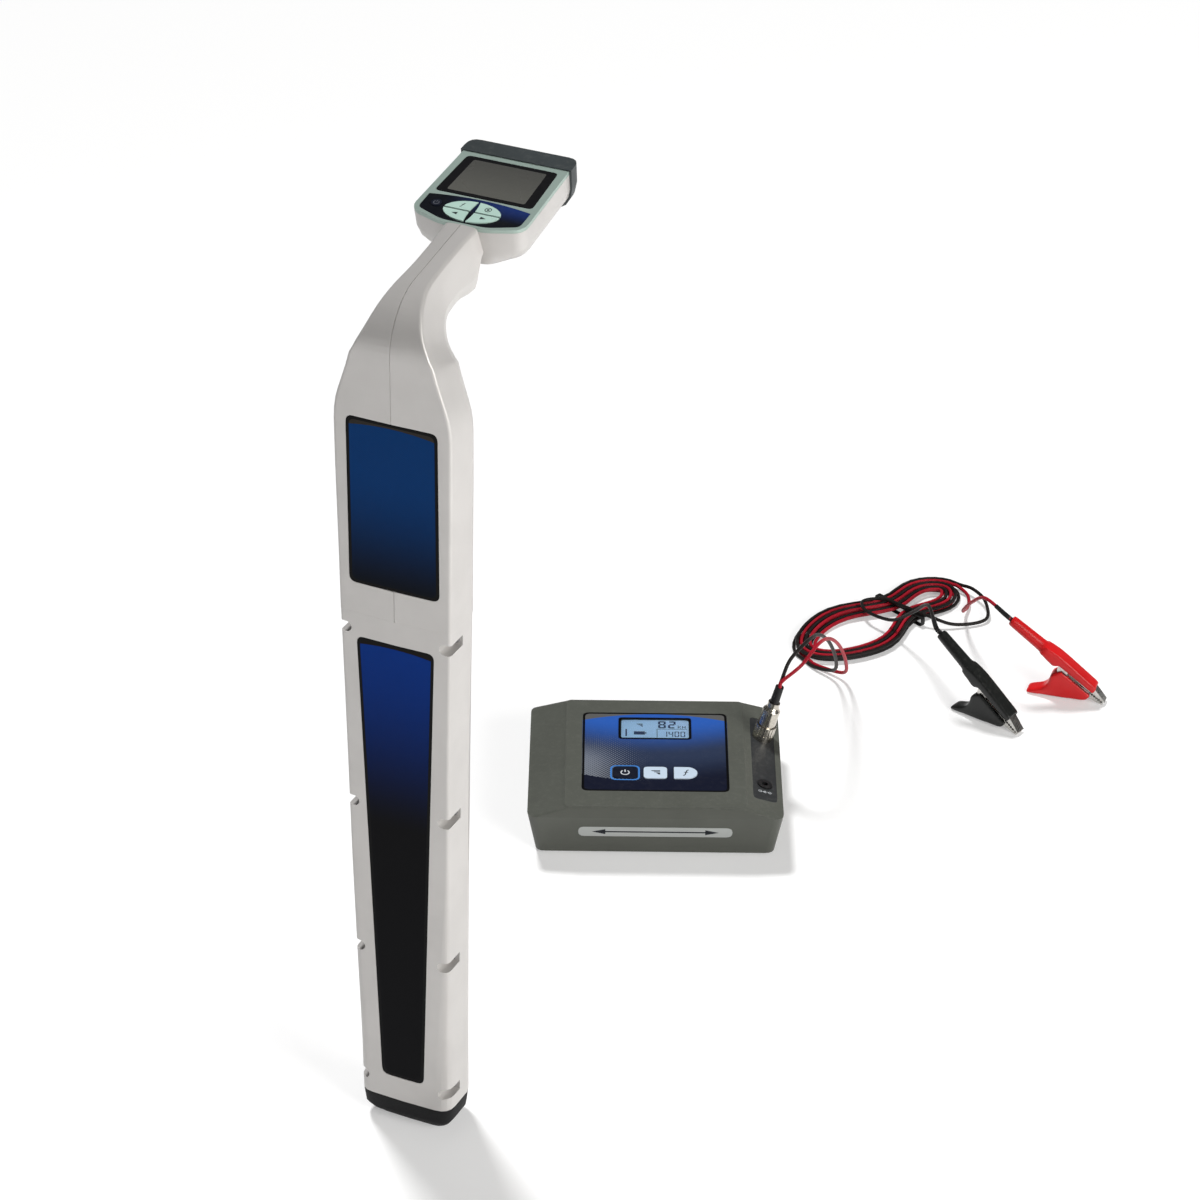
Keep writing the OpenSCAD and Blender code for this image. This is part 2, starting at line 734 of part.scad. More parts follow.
module rx_lower_label() {
    color("Navy") label_plate(lower_label_foot_width, lower_label_top_width, lower_label_z,
        lower_label_top_z, 0, label_thickness);
}

door_groove = 1;
door_groove_count = 4;
door_groove_pitch = 5;
module rx_battery_door() {
    groove_half = door_width / 4;
    color("Silver") difference() {
        translate([0, rear_y, 0]) rotate([90, 0, 0])
            linear_extrude(shell_wall - seat_gap) polygon(door_outline(0));
        for (i = [1 : door_groove_count])
            translate([-groove_half, rear_y - door_groove,
                door_z + door_height - (i + 1) * door_groove_pitch])
                cube([2 * groove_half, overrun, door_groove_pitch / 2]);
    }
}

module rx_battery_tray() {
    color("Black") difference() {
        union() {
            translate([-bay_half - tray_flange - door_ledge, inner_rear_y - tray_flange_thickness,
                door_z - tray_flange])
                cube([2 * (bay_half + tray_flange + door_ledge), tray_flange_thickness,
                    door_height + 2 * tray_flange]);
            translate([-bay_half - tray_wall, bay_floor_y - tray_wall, bay_z - tray_wall])
                cube([2 * (bay_half + tray_wall), inner_rear_y - bay_floor_y, bay_height + 2 * tray_wall]);
        }
        translate([-bay_half, bay_floor_y, bay_z]) cube([2 * bay_half, body_depth, bay_height]);
    }
}

module rx_battery_cells() {
    pitch = cell_diameter + cell_split;
    color("Goldenrod") for (x = [-pitch / 2, pitch / 2], i = [0, 1])
        translate([x, bay_floor_y + cell_gap + cell_diameter / 2,
            bay_z + cell_gap + i * (cell_length + cell_split)])
            cylinder(d = cell_diameter, h = cell_length);
}

module rx_antenna_board() {
    z0 = foot_height + antenna_foot;
    color("DarkGreen") translate([-antenna_width / 2, antenna_y - antenna_thickness / 2, z0])
        cube([antenna_width, antenna_thickness, seam_height - antenna_top - z0]);
}

module rx_antenna_coils() {
    z0 = foot_height + antenna_foot;
    back = antenna_y - antenna_thickness / 2;
    color("Sienna") for (s = coil_shares)
        translate([0, back - winding_radius - pocket_wall, lerp(z0, seam_height - antenna_top, s)]) {
            rotate([0, 90, 0]) cylinder(r = rod_radius, h = rod_length, center = true);
            rotate([0, 90, 0]) cylinder(r = winding_radius, h = winding_length, center = true);
            translate([-coil_saddle / 2, 0, -coil_saddle / 2])
                cube([coil_saddle, winding_radius + pocket_wall, coil_saddle]);
        }
}

module rx_case_screws() {
    color("LightSteelBlue") at_pockets() {
        bar_y(screw_head_radius, -screw_head_height, 0);
        bar_y(screw_radius, 0, screw_length);
    }
}

// Transmitter, in its own frame: x to its right, y to its rear, z up from the floor
box_x = -19;
box_y = 497;
box_corner = 9;
box_front_lean = 2;
box_top_edge = 1.5;
module in_box() {
    translate([box_x, box_y, 0]) rotate([0, 0, box_turn]) children();
}
top_width = box_width - 2 * box_shoulder;
panel_width = top_width - 2 * panel_side;
panel_depth = box_depth - 2 * panel_end;
function box_ring(half_x, half_y, r, z) =
    let (a = [0, -half_y], b = [half_x, -half_y], c = [half_x, half_y], d = [0, half_y])
        [for (p = closed(concat([a], corner(a, b, c, r), corner(b, c, d, r), [d]))) [p[0], p[1], z]];
function box_rings(in, floor_z, drop) =
    let (x = box_width / 2 - in, y = box_depth / 2 - in, t = top_width / 2 - in / 2)
        [
            box_ring(x - base_draw, y - base_draw, box_corner, floor_z),
            box_ring(x, y, box_corner, shoulder_height - in),
            box_ring(t + box_top_edge, y - box_front_lean, box_corner / 2, box_height - box_top_edge - drop),
            box_ring(t, y - box_front_lean - box_top_edge, box_corner / 2, box_height - drop)
        ];

shoulder_run = (box_width - top_width) / 2 - box_top_edge;
shoulder_fall = box_height - box_top_edge - shoulder_height;
shoulder_tilt = atan(shoulder_fall / shoulder_run);
shoulder_x = (box_width / 2 + top_width / 2 + box_top_edge) / 2;
shoulder_z = (box_height - box_top_edge + shoulder_height) / 2;
module on_shoulder(y) {
    in_box() translate([shoulder_x, y, shoulder_z]) rotate([0, shoulder_tilt, 0]) children();
}
socket_y_share = 0.205;
jack_y_share = -0.225;
socket_y = box_depth * socket_y_share;
jack_y = box_depth * jack_y_share;

panel_recess = 0.8;
panel_sheet = 0.6;
panel_radius = 6;
panel_y = 2;
screen_y_share = 0.3;
box_keys_y_share = -0.27;
screen_y = panel_depth * screen_y_share + panel_y;
box_keys_y = panel_depth * box_keys_y_share + panel_y;
box_key_radius = 4;
screen_thickness = 1.4;
screen_ledge = 2;
function rounded_box(w, d, r) =
    closed(concat([[0, -d / 2]], corner([0, -d / 2], [w / 2, -d / 2], [w / 2, d / 2], r),
        corner([w / 2, -d / 2], [w / 2, d / 2], [0, d / 2], r), [[0, d / 2]]));
// The frequency key has a round right end
function round_end_outline(w, d, grow) = concat(
    [for (i = [0 : 2 * key_arc_steps]) let (a = lerp(-90, 90, i / (2 * key_arc_steps)))
        [w / 2 - d / 2 + (d / 2 + grow) * cos(a), (d / 2 + grow) * sin(a)]],
    [[-w / 2 - grow, d / 2 + grow], [-w / 2 - grow, -d / 2 - grow]]
);
module box_key_outline(i, grow) {
    translate([(i - 1) * box_key_pitch, box_keys_y])
        if (i < 2) polygon(rounded_box(box_key_width + 2 * grow, box_key_depth + 2 * grow, box_key_radius));
        else polygon(round_end_outline(box_key_width, box_key_depth, grow));
}
module box_key_outlines(grow) {
    for (i = [0 : 2]) box_key_outline(i, grow);
}
module screen_outline(grow) {
    translate([0, screen_y])
        polygon(rounded_box(screen_width + 2 * grow, screen_depth + 2 * grow, window_radius));
}

inner_top = box_height - cover_wall;
box_key_skirt = 1.5;
box_key_proud = 0.7;
box_key_foot = inner_top - box_key_skirt;
box_switch_top = box_key_foot - key_travel - seat_gap;
box_board_top = box_switch_top - switch_height;
box_board_width = panel_width - 2 * panel_radius;
box_board_depth = panel_depth - 2 * panel_radius;
box_boss_radius = 4.5;
box_boss_x = box_width / 2 - cover_wall - base_draw - 2 * box_boss_radius;
box_boss_y = box_depth / 2 - cover_wall - base_draw - 2 * box_boss_radius;
base_z = feet_height;
base_top = base_z + base_thickness;
feet_radius = 7;
board_stand_x = box_board_width / 2 - box_boss_radius;
board_stand_y = box_board_depth / 2 - box_boss_radius;

plate_thickness = 1;
plate_radius = 5;
plate_recess = 1.2;
plate_top = -plate_recess + plate_thickness;
socket_flange = 2;
socket_reach = 8;
socket_bore_gap = 0.3;
socket_wall = 1.8;
socket_tail = 12;
jack_radius = 5.5;
jack_bore = 2.8;
jack_depth = 10;
jack_rim = 1.2;
jack_pin = 0.9;
socket_top = plate_top + socket_flange + socket_reach;
socket_radius = socket_diameter / 2;
socket_bore = socket_radius - socket_wall;
socket_tail_radius = socket_radius - socket_wall / 2;

arrow_z = 26;
arrow_thickness = 0.8;
arrow_tilt = atan(base_draw / (shoulder_height - base_z));
// The front wall leans out towards its top, and the arrow label lies in its plane
module on_front() {
    in_box() translate([0, -box_depth / 2 + base_draw, base_z]) rotate([90 + arrow_tilt, 0, 0])
        translate([0, (arrow_z - base_z) / cos(arrow_tilt), 0]) children();
}

module tx_cover() {
    color("DarkSlateGray") difference() {
        in_box() difference() {
            union() {
                difference() {
                    loft(box_rings(0, base_z, 0));
                    loft(concat([box_ring(box_width / 2 - cover_wall - base_draw,
                        box_depth / 2 - cover_wall - base_draw, box_corner, base_z - overrun)],
                        box_rings(cover_wall, base_z, cover_wall)));
                }
                for (x = [-box_boss_x, box_boss_x], y = [-box_boss_y, box_boss_y])
                    translate([x, y, base_top])
                        cylinder(r = box_boss_radius, h = shoulder_height + cover_wall - base_top);
            }
            translate([0, panel_y, box_height - panel_recess]) linear_extrude(overrun)
                polygon(rounded_box(panel_width + 2 * seat_gap, panel_depth + 2 * seat_gap, panel_radius));
            translate([0, 0, box_height - screen_thickness - panel_recess]) linear_extrude(overrun)
                screen_outline(seat_gap);
            translate([0, 0, inner_top - overrun]) linear_extrude(3 * overrun) screen_outline(-screen_ledge);
            translate([0, 0, inner_top - overrun]) linear_extrude(3 * overrun) box_key_outlines(run_gap);
            for (x = [-box_boss_x, box_boss_x], y = [-box_boss_y, box_boss_y])
                translate([x, y, base_top - overrun])
                    cylinder(r = screw_radius + screw_bite, h = overrun + screw_length);
        }
        on_shoulder(0) translate([0, 0, -plate_recess]) linear_extrude(overrun)
            polygon(rounded_box(connector_width + 2 * seat_gap, connector_length + 2 * seat_gap,
                plate_radius));
        on_shoulder(socket_y) translate([0, 0, -2 * overrun])
            cylinder(r = socket_tail_radius + seat_gap, h = 3 * overrun);
        on_shoulder(jack_y) translate([0, 0, -2 * overrun])
            cylinder(r = jack_radius + seat_gap, h = 3 * overrun);
        on_front() translate([0, 0, -arrow_thickness]) linear_extrude(overrun)
            polygon(rounded_box(arrow_width + 2 * seat_gap, arrow_height + 2 * seat_gap, arrow_height / 2));
    }
}

module tx_base_plate() {
    gap = cover_wall + base_draw + 2 * seat_gap;
    color("DarkSlateGray") in_box() {
        difference() {
            loft([for (z = [base_z, base_top])
                box_ring(box_width / 2 - gap, box_depth / 2 - gap, box_corner, z)]);
            for (x = [-box_boss_x, box_boss_x], y = [-box_boss_y, box_boss_y])
                translate([x, y, base_z - overrun]) cylinder(r = screw_radius + run_gap, h = 3 * overrun);
        }
        for (x = [-board_stand_x, board_stand_x], y = [-board_stand_y, board_stand_y])
            translate([x, y, base_top])
                cylinder(r = box_boss_radius, h = box_board_top - board_thickness - base_top);
    }
}

feet_place_share = 0.86;
feet_taper = 1;
module tx_feet() {
    color("Black") in_box() for (x = [-box_boss_x, box_boss_x], y = [-box_boss_y, box_boss_y])
        translate([x * feet_place_share, y * feet_place_share, 0])
            cylinder(r1 = feet_radius - feet_taper, r2 = feet_radius, h = feet_height);
}

module tx_base_screws() {
    color("LightSteelBlue") in_box() for (x = [-box_boss_x, box_boss_x], y = [-box_boss_y, box_boss_y])
        translate([x, y, base_z]) {
            translate([0, 0, -feet_height / 2]) cylinder(r = screw_head_radius, h = feet_height / 2);
            cylinder(r = screw_radius, h = screw_length - overrun);
        }
}

module tx_panel_overlay() {
    color("MidnightBlue") in_box() translate([0, 0, box_height - panel_recess]) linear_extrude(panel_sheet)
        difference() {
            translate([0, panel_y]) polygon(rounded_box(panel_width, panel_depth, panel_radius));
            screen_outline(seat_gap);
            box_key_outlines(run_gap);
        }
}

module tx_display_window() {
    color("LightBlue") in_box() translate([0, 0, box_height - panel_recess - screen_thickness])
        linear_extrude(screen_thickness + panel_sheet) screen_outline(0);
}

module tx_display_panel() {
    top = box_height - panel_recess - screen_thickness - panel_gap;
    color("LightSkyBlue") in_box() translate([0, 0, box_board_top]) linear_extrude(top - box_board_top)
        screen_outline(-screen_ledge - 2 * seat_gap);
}

module box_key(i) {
    in_box() translate([0, 0, box_key_foot])
        linear_extrude(box_height - panel_recess + panel_sheet + box_key_proud - box_key_foot)
            box_key_outline(i, 0);
}
module tx_key_power() { color("Navy") box_key(0); }
module tx_key_signal() { color("AliceBlue") box_key(1); }
module tx_key_frequency() { color("AliceBlue") box_key(2); }

module tx_circuit_board() {
    color("DarkGreen") in_box() {
        translate([-box_board_width / 2, -box_board_depth / 2, box_board_top - board_thickness])
            cube([box_board_width, box_board_depth, board_thickness]);
        for (i = [0 : 2])
            translate([(i - 1) * box_key_pitch - switch_size / 2, box_keys_y - switch_size / 2,
                box_board_top])
                cube([switch_size, switch_size, switch_height]);
    }
}

module tx_connector_plate() {
    color("DarkSlateGray") difference() {
        on_shoulder(0) translate([0, 0, -plate_recess]) linear_extrude(plate_thickness)
            polygon(rounded_box(connector_width, connector_length, plate_radius));
        on_shoulder(socket_y) translate([0, 0, -overrun])
            cylinder(r = socket_tail_radius + seat_gap, h = 2 * overrun);
        on_shoulder(jack_y) translate([0, 0, -overrun])
            cylinder(r = jack_radius + seat_gap, h = 2 * overrun);
    }
}

module tx_output_socket() {
    color("Silver") on_shoulder(socket_y) difference() {
        union() {
            translate([0, 0, plate_top]) cylinder(d = ring_diameter, h = socket_flange);
            translate([0, 0, plate_top]) cylinder(r = socket_radius, h = socket_top - plate_top);
            translate([0, 0, plate_top - socket_tail]) cylinder(r = socket_tail_radius, h = socket_tail);
        }
        translate([0, 0, plate_top]) cylinder(r = socket_bore, h = 3 * overrun);
    }
}

module tx_power_jack() {
    color("Black") on_shoulder(jack_y) {
        difference() {
            union() {
                translate([0, 0, plate_top]) cylinder(r = jack_radius + jack_rim, h = jack_rim);
                translate([0, 0, plate_top - jack_depth]) cylinder(r = jack_radius, h = jack_depth);
            }
            translate([0, 0, plate_top - jack_depth + jack_rim]) cylinder(r = jack_bore, h = 2 * jack_depth);
        }
        translate([0, 0, plate_top - jack_depth]) cylinder(r = jack_pin, h = jack_depth - jack_rim);
    }
}

pack_width = 92;
pack_depth = 52;
pack_height = 22;
pack_y = 30;
pack_radius = 6;
module tx_battery_pack() {
    color("SteelBlue") in_box() translate([0, pack_y, base_top]) linear_extrude(pack_height)
        polygon(rounded_box(pack_width, pack_depth, pack_radius));
}

rod_end_gap = 14.5;
rod_bare = 27;
rod_inset = 23;
box_rod_length = 2 * (box_boss_x - box_boss_radius - rod_end_gap);
box_rod_y = -box_depth / 2 + rod_inset;
box_coil_length = box_rod_length - 2 * rod_bare;
rod_saddle_share = 0.42;
module tx_induction_coil() {
    color("Sienna") in_box() translate([0, box_rod_y, base_top + winding_radius + pocket_wall]) {
        rotate([0, 90, 0]) cylinder(r = rod_radius, h = box_rod_length, center = true);
        rotate([0, 90, 0]) cylinder(r = winding_radius, h = box_coil_length, center = true);
        for (x = [-box_rod_length, box_rod_length] * rod_saddle_share)
            translate([x - coil_saddle / 2, -coil_saddle / 2, -winding_radius - pocket_wall])
                cube([coil_saddle, coil_saddle, winding_radius + pocket_wall]);
    }
}

module tx_arrow_label() {
    color("Gray") on_front() translate([0, 0, -arrow_thickness]) linear_extrude(arrow_thickness)
        polygon(rounded_box(arrow_width, arrow_height, arrow_height / 2));
}

// Plug on the output socket, along the shoulder's normal
ring_start = plate_top + socket_flange + run_gap;
ring_lip = 3;
ring_flutes = 20;
ring_flute_radius = 0.7;
collar_radius = socket_radius - socket_wall / 2;
barrel_start = ring_start + ring_length + run_gap;
barrel_neck = 5;
barrel_end_radius = 5.5;
barrel_step = 8;
insert_length = 6;
sleeve_radius = 4.2;
sleeve_end_radius = 3.9;
barrel_top = barrel_start + barrel_length;
sleeve_top = barrel_top + sleeve_length;

module plug_coupling_ring() {
    color("Silver") on_shoulder(socket_y) difference() {
        translate([0, 0, ring_start]) cylinder(d = ring_diameter, h = ring_length);
        translate([0, 0, ring_start - overrun])
            cylinder(r = socket_radius + run_gap, h = overrun + ring_length - ring_lip);
        translate([0, 0, ring_start - overrun])
            cylinder(r = collar_radius + turn_gap, h = 2 * overrun + ring_length);
        for (i = [0 : ring_flutes - 1]) rotate(i * 360 / ring_flutes)
            translate([ring_diameter / 2 + ring_flute_radius / 3, 0, ring_start + ring_lip])
                cylinder(r = ring_flute_radius, h = ring_length);
    }
}

module plug_barrel() {
    color("LightGray") on_shoulder(socket_y) rotate_extrude() polygon([
        [0, socket_top - insert_length],
        [socket_bore - socket_bore_gap, socket_top - insert_length],
        [socket_bore - socket_bore_gap, socket_top],
        [collar_radius, socket_top],
        [collar_radius, barrel_start],
        [barrel_diameter / 2, barrel_start],
        [barrel_diameter / 2, barrel_top - barrel_step],
        [barrel_end_radius, barrel_top - barrel_neck],
        [barrel_end_radius, barrel_top],
        [0, barrel_top]
    ]);
}

module lead_sleeve() {
    color("Black") on_shoulder(socket_y) translate([0, 0, barrel_top])
        cylinder(r1 = sleeve_radius, r2 = sleeve_end_radius, h = sleeve_length);
}

// Leads: routes, hank and sweeps
lead_radius = lead_diameter / 2;
lead_sides = 8;
hank_sides = 6;
hank_rings = 24;
hank_x = 45;
hank_y = 884;
hank_turn = -113;
waist_share = -0.26;
waist_reach_share = 0.36;
hank_layer = 0.6;
waist_blend = 4;
tie_thickness = 0.8;
tie_gap = 0.3;
floor_gap = 0.1;

// Where the leads leave the sleeve, and the way they leave it
function turned(p, a) = [p[0] * cos(a) - p[1] * sin(a), p[0] * sin(a) + p[1] * cos(a), p[2]];
plug_way = turned([sin(shoulder_tilt), 0, cos(shoulder_tilt)], box_turn);
plug_side = turned([0, 1, 0], box_turn);
plug_foot = turned([shoulder_x, socket_y, shoulder_z], box_turn) + [box_x, box_y, 0];
lead_exit = plug_foot + plug_way * sleeve_top;
lead_split = lead_radius + tie_gap / 2;

// The hank winds in for two turns, climbs in half a turn, and winds out for two turns.
// The place s counts the turns, and the black and the red lead lie side by side.
hank_turns = 2;
hank_end = 2 * hank_turns + 0.5;
hank_middle = hank_end / 2;
function hank_offset(s, i) = -hank_step * (2 * (hank_middle - abs(s - hank_middle)) + i);
function hank_rise(s) = ease((s - hank_turns) * 2) * (lead_diameter + hank_layer);
function waist_pull(u) =
    let (t = (u - waist_share * hank_half_length) / (waist_reach_share * hank_half_length)) exp(-t * t);
function hank_local(s, i) =
    let (off = hank_offset(s, i), a = 360 * s, u = (hank_half_length + off) * cos(a),
        pull = waist_pull(u), way = sin(a) < 0 ? 1 : -1,
        v = -(hank_half_width + off) * sin(a) - way * hank_draw * pull * clamped(abs(sin(a)) * waist_blend))
        [u, v, lead_radius + floor_gap + hank_rise(s) + (tie_thickness + tie_gap) * pull];
function hank_point(s, i) = turned(hank_local(s, i), hank_turn) + [hank_x, hank_y, 0];
function hank_path(i) = [for (k = [0 : hank_end * hank_rings]) hank_point(k / hank_rings, i)];

// Free runs: hand-chosen points from the sleeve to the hank and from the hank to the clips
black_tail = [[70, 592, 122], [75, 620, 128], [70, 660, 112], [64, 702, 80], [57, 738, 42], [46, 764, 12]];
red_tail = [[81, 592, 119], [84, 624, 125], [79, 664, 108], [73, 706, 76], [66, 742, 38], [54, 768, 9]];
black_end = [[108, 973, 8.6], [127, 956, 8.6], [137, 931, 3.4], [114, 908, 4], [88, 901, 10.8],
    [62, 905, 12.4], [38, 911, 11.6], [21, 899, 11], [33, 881, 11.6], [64, 868, 17], [94, 846, 46],
    [119, 813, 76]];
red_end = [
    [104, 969, 2.8], [112, 950, 3.2], [115, 928, 9], [126, 897, 30], [145, 864, 60], [166, 840, 82]
];

// Smooth curve through points, with its first and last points repeated as ends
route_steps = 4;
function route(points) = let (n = len(points) - 1) concat(
    [for (i = [0 : n - 1], k = [0 : route_steps - 1])
        let (a = points[max(0, i - 1)], b = points[i], c = points[i + 1], d = points[min(n, i + 2)],
            t = k / route_steps)
            (2 * b + (c - a) * t + (2 * a - 5 * b + 4 * c - d) * t * t
                + (3 * b - a - 3 * c + d) * t * t * t) / 2],
    [points[n]]
);

// Tube along points, with end rings square to the given ways
function tangents(path, first, last) = let (n = len(path) - 1)
    [for (i = [0 : n]) i == 0 ? unit(first) : i == n ? unit(last) : unit(path[i + 1] - path[i - 1])];
first_normal = [0, 0.3, 1];
function carried(n, t) = unit(n - (n * t) * t);
function normals(ways) = [
    for (i = 0, n = carried(first_normal, ways[0]); i < len(ways);
        i = i + 1, n = i < len(ways) ? carried(n, ways[i]) : n) n
];
module tube(path, first, last, radius, sides) {
    ways = tangents(path, first, last);
    ups = normals(ways);
    loft([for (i = [0 : len(path) - 1])
        [for (k = [0 : sides - 1])
            path[i] + radius * (cos(360 * (k + 0.5) / sides) * ups[i]
                + sin(360 * (k + 0.5) / sides) * cross(ways[i], ups[i]))]]);
}
function path_length(path) = len(path) < 2 ? 0
    : [for (i = 0, sum = 0; i < len(path); i = i + 1,
        sum = i < len(path) ? sum + norm(path[i] - path[i - 1]) : sum) sum][len(path) - 1];

hank_probe = 0.001;
function hank_first(i) = hank_point(hank_probe, i) - hank_point(0, i);
function hank_last(i) = hank_point(hank_end, i) - hank_point(hank_end - hank_probe, i);

// Places of the clips: x and y of the pivot on the floor, and the heading of the tip
clip_places = [[198, 763, -14], [250, 835, 7]];
jaw_blunt = 1.6;
jaw_split = 0.3;
tail_y = 4;
tail_radius = 6.5;
tail_z = boot_width / 2;
// A clip leans on its tab and its tips, so its axis dips towards the tips
clip_dip = atan((lever_drop - jaw_blunt - jaw_split) / (jaw_reach + lever_back));
clip_lift = lever_drop * cos(clip_dip) - lever_back * sin(clip_dip);
module in_clip(i) {
    translate([clip_places[i][0], clip_places[i][1], clip_lift]) rotate([0, 0, clip_places[i][2]])
        rotate([0, clip_dip, 0]) rotate([90, 0, 0]) translate([0, 0, -boot_width / 2]) children();
}
function clip_way(i) = turned([cos(clip_dip), 0, -sin(clip_dip)], clip_places[i][2]);
function clip_inlet(i) =
    turned([-tail_reach * cos(clip_dip) + tail_y * sin(clip_dip), 0,
        tail_reach * sin(clip_dip) + tail_y * cos(clip_dip) + clip_lift], clip_places[i][2])
    + [clip_places[i][0], clip_places[i][1], 0];

lead_in = 22;
lead_settle = [0, 0, 1];
function lead_start(i) = lead_exit + plug_side * lead_split * (i == 0 ? 1 : -1);
function tail_path(i) = route(concat(
    [lead_start(i), lead_start(i) + plug_way * 2 * lead_diameter],
    i == 0 ? black_tail : red_tail,
    [hank_point(0, i) - unit(hank_first(i)) * lead_in + lead_settle,
        hank_point(0, i) - unit(hank_first(i)) * 2 * lead_diameter, hank_point(0, i)]
));
function end_path(i) = route(concat(
    [hank_point(hank_end, i), hank_point(hank_end, i) + unit(hank_last(i)) * 2 * lead_diameter],
    i == 0 ? black_end : red_end,
    [clip_inlet(i) - clip_way(i) * 2 * lead_diameter, clip_inlet(i)]
));

module lead_runs(i) {
    tube(tail_path(i), plug_way, hank_first(i), lead_radius, lead_sides);
    tube(end_path(i), hank_last(i), clip_way(i), lead_radius, lead_sides);
}
module lead_hank(i) {
    tube(hank_path(i), hank_first(i), hank_last(i), lead_radius, hank_sides);
}
module black_lead_runs() { color("DimGray") lead_runs(0); }
module black_lead_hank() { color("DimGray") lead_hank(0); }
module red_lead_runs() { color("FireBrick") lead_runs(1); }
module red_lead_hank() { color("FireBrick") lead_hank(1); }

// Least gap between strands of the hank and the lengths of the leads
gap_skip = 5;
function least_gap(a, b, skip) = min([
    for (i = [0 : len(a) - 1], j = [0 : len(b) - 1]) if (abs(i - j) > skip) norm(a[i] - b[j])
]) - lead_diameter;
echo(hank_gap_black = least_gap(hank_path(0), hank_path(0), gap_skip));
echo(hank_gap_red = least_gap(hank_path(1), hank_path(1), gap_skip));
echo(hank_gap_between = least_gap(hank_path(0), hank_path(1), -1));
echo(lead_lengths = [for (i = [0, 1])
    path_length(tail_path(i)) + path_length(hank_path(i)) + path_length(end_path(i))]);

// Tie round the waist of the hank
tie_half = hank_half_width - hank_draw + lead_radius + tie_gap;
tie_height = 2 * lead_diameter + hank_layer + 2 * tie_gap;
tie_round = 3;
module lead_tie() {
    outer = rounded_box(2 * (tie_half + tie_thickness), tie_height + 2 * tie_thickness, tie_round);
    inner = rounded_box(2 * tie_half, tie_height, tie_round - tie_thickness);
    color("Tan") translate([hank_x, hank_y, 0]) rotate([0, 0, hank_turn])
        translate([waist_share * hank_half_length - tie_width / 2, 0, tie_height / 2 + tie_thickness])
            rotate([90, 0, 90]) linear_extrude(tie_width) difference() {
                polygon(outer);
                polygon(inner);
            }
}

// Clips, each standing on its lever and its jaw tips
// In a clip's own plane x runs from the pivot to the tip, and the lever is on the -y side
jaw_height = 7;
jaw_teeth = 6;
jaw_tooth = 1.1;
jaw_shoulder = 32;
lever_width = 4;
ear_radius = 5.5;
ear_thickness = 2;
boot_wall = 2;
boot_end = 36;
boot_belly = 3;
neck_x = 26;
jaw_z = (boot_width - jaw_width) / 2;

// Toothed edge along the bite, as points from the shoulder to the tip
function bite(side) = [
    for (k = [0 : 2 * jaw_teeth])
        let (x = lerp(jaw_shoulder, jaw_reach - jaw_blunt, k / (2 * jaw_teeth)))
            [x, side * (jaw_split + (k % 2) * jaw_tooth)]
];
fixed_outline = concat(
    [[-neck_x, jaw_split + boot_wall], [0, jaw_split + boot_wall / 2]],
    bite(1),
    [[jaw_reach, jaw_split + jaw_blunt], [jaw_shoulder, jaw_height], [-neck_x, jaw_height]]
);

// The lever runs from the pivot down to its tab, with places as shares of its fall
lever_tab = [-lever_back, -lever_drop];
lever_bend_share = 0.55;
lever_belly_share = 0.6;
lever_belly = 5;
lever_throat = 13.8;
lever_set = 8;
lever_heel = [-6, -11.5];
boot_heel = 5;
boot_back_round = 9;
boot_top_round = 4;
boot_end_round = 3;
boot_neck_share = 0.8;
lever_bend = lever_tab * lever_bend_share + [lever_set, 0];
moving_outline = concat(
    [lever_tab + [boot_wall, 3 * boot_wall], lever_bend, [-boot_wall / 2, -jaw_split - boot_wall]],
    bite(-1),
    [[jaw_reach, -jaw_split - jaw_blunt], [jaw_shoulder, -jaw_height],
        lever_bend + [3 * lever_width, 0], lever_tab + [boot_wall + lever_width, 3 * boot_wall]]
);
module jaw_slab(outline, z0, z1) {
    translate([0, 0, z0]) linear_extrude(z1 - z0) polygon(outline);
}
module ear(radius, z0, z1) {
    translate([0, 0, z0]) cylinder(r = radius, h = z1 - z0);
}
ear_low = jaw_z + ear_thickness;
ear_high = jaw_z + jaw_width - ear_thickness;

module clip_fixed_jaw(i) {
    in_clip(i) {
        difference() {
            union() {
                jaw_slab(fixed_outline, jaw_z, jaw_z + jaw_width);
                ear(ear_radius, jaw_z, ear_low);
                ear(ear_radius, ear_high, jaw_z + jaw_width);
            }
            ear(ear_radius + run_gap, ear_low, ear_high);
        }
        ear(pin_diameter / 2, jaw_z, jaw_z + jaw_width);
    }
}

module clip_moving_jaw(i) {
    in_clip(i) difference() {
        union() {
            jaw_slab(moving_outline, jaw_z, jaw_z + jaw_width);
            ear(ear_radius, ear_low + run_gap, ear_high - run_gap);
        }
        ear(ear_radius + run_gap, jaw_z - overrun, ear_low + run_gap);
        ear(ear_radius + run_gap, ear_high - run_gap, jaw_z + jaw_width + overrun);
        ear(pin_diameter / 2 + turn_gap, 0, boot_width);
    }
}

boot_neck = [-neck_x - boot_wall, tail_y - tail_radius * boot_neck_share];
boot_brow = [boot_end, jaw_height + boot_wall];
boot_crown = [-ear_radius, jaw_height + 2 * boot_wall];
boot_nape = [-neck_x / 2 - boot_wall, jaw_height + 2 * boot_wall];
boot_collar = [-neck_x - boot_wall, tail_y + tail_radius * boot_neck_share];
fixed_boot_outline = [
    boot_neck, [-2 * ear_radius, -boot_belly], [-ear_radius - 2 * boot_wall, -boot_belly],
    [-ear_radius, jaw_split + boot_wall / 2], [boot_end, jaw_split + boot_wall / 2],
    each corner([boot_end, jaw_split + boot_wall / 2], boot_brow, boot_crown, boot_end_round),
    each corner(boot_brow, boot_crown, boot_nape, boot_top_round),
    each corner(boot_crown, boot_nape, boot_collar, boot_top_round),
    boot_collar
];
boot_toe = lever_tab + [-boot_wall / 2, boot_heel];
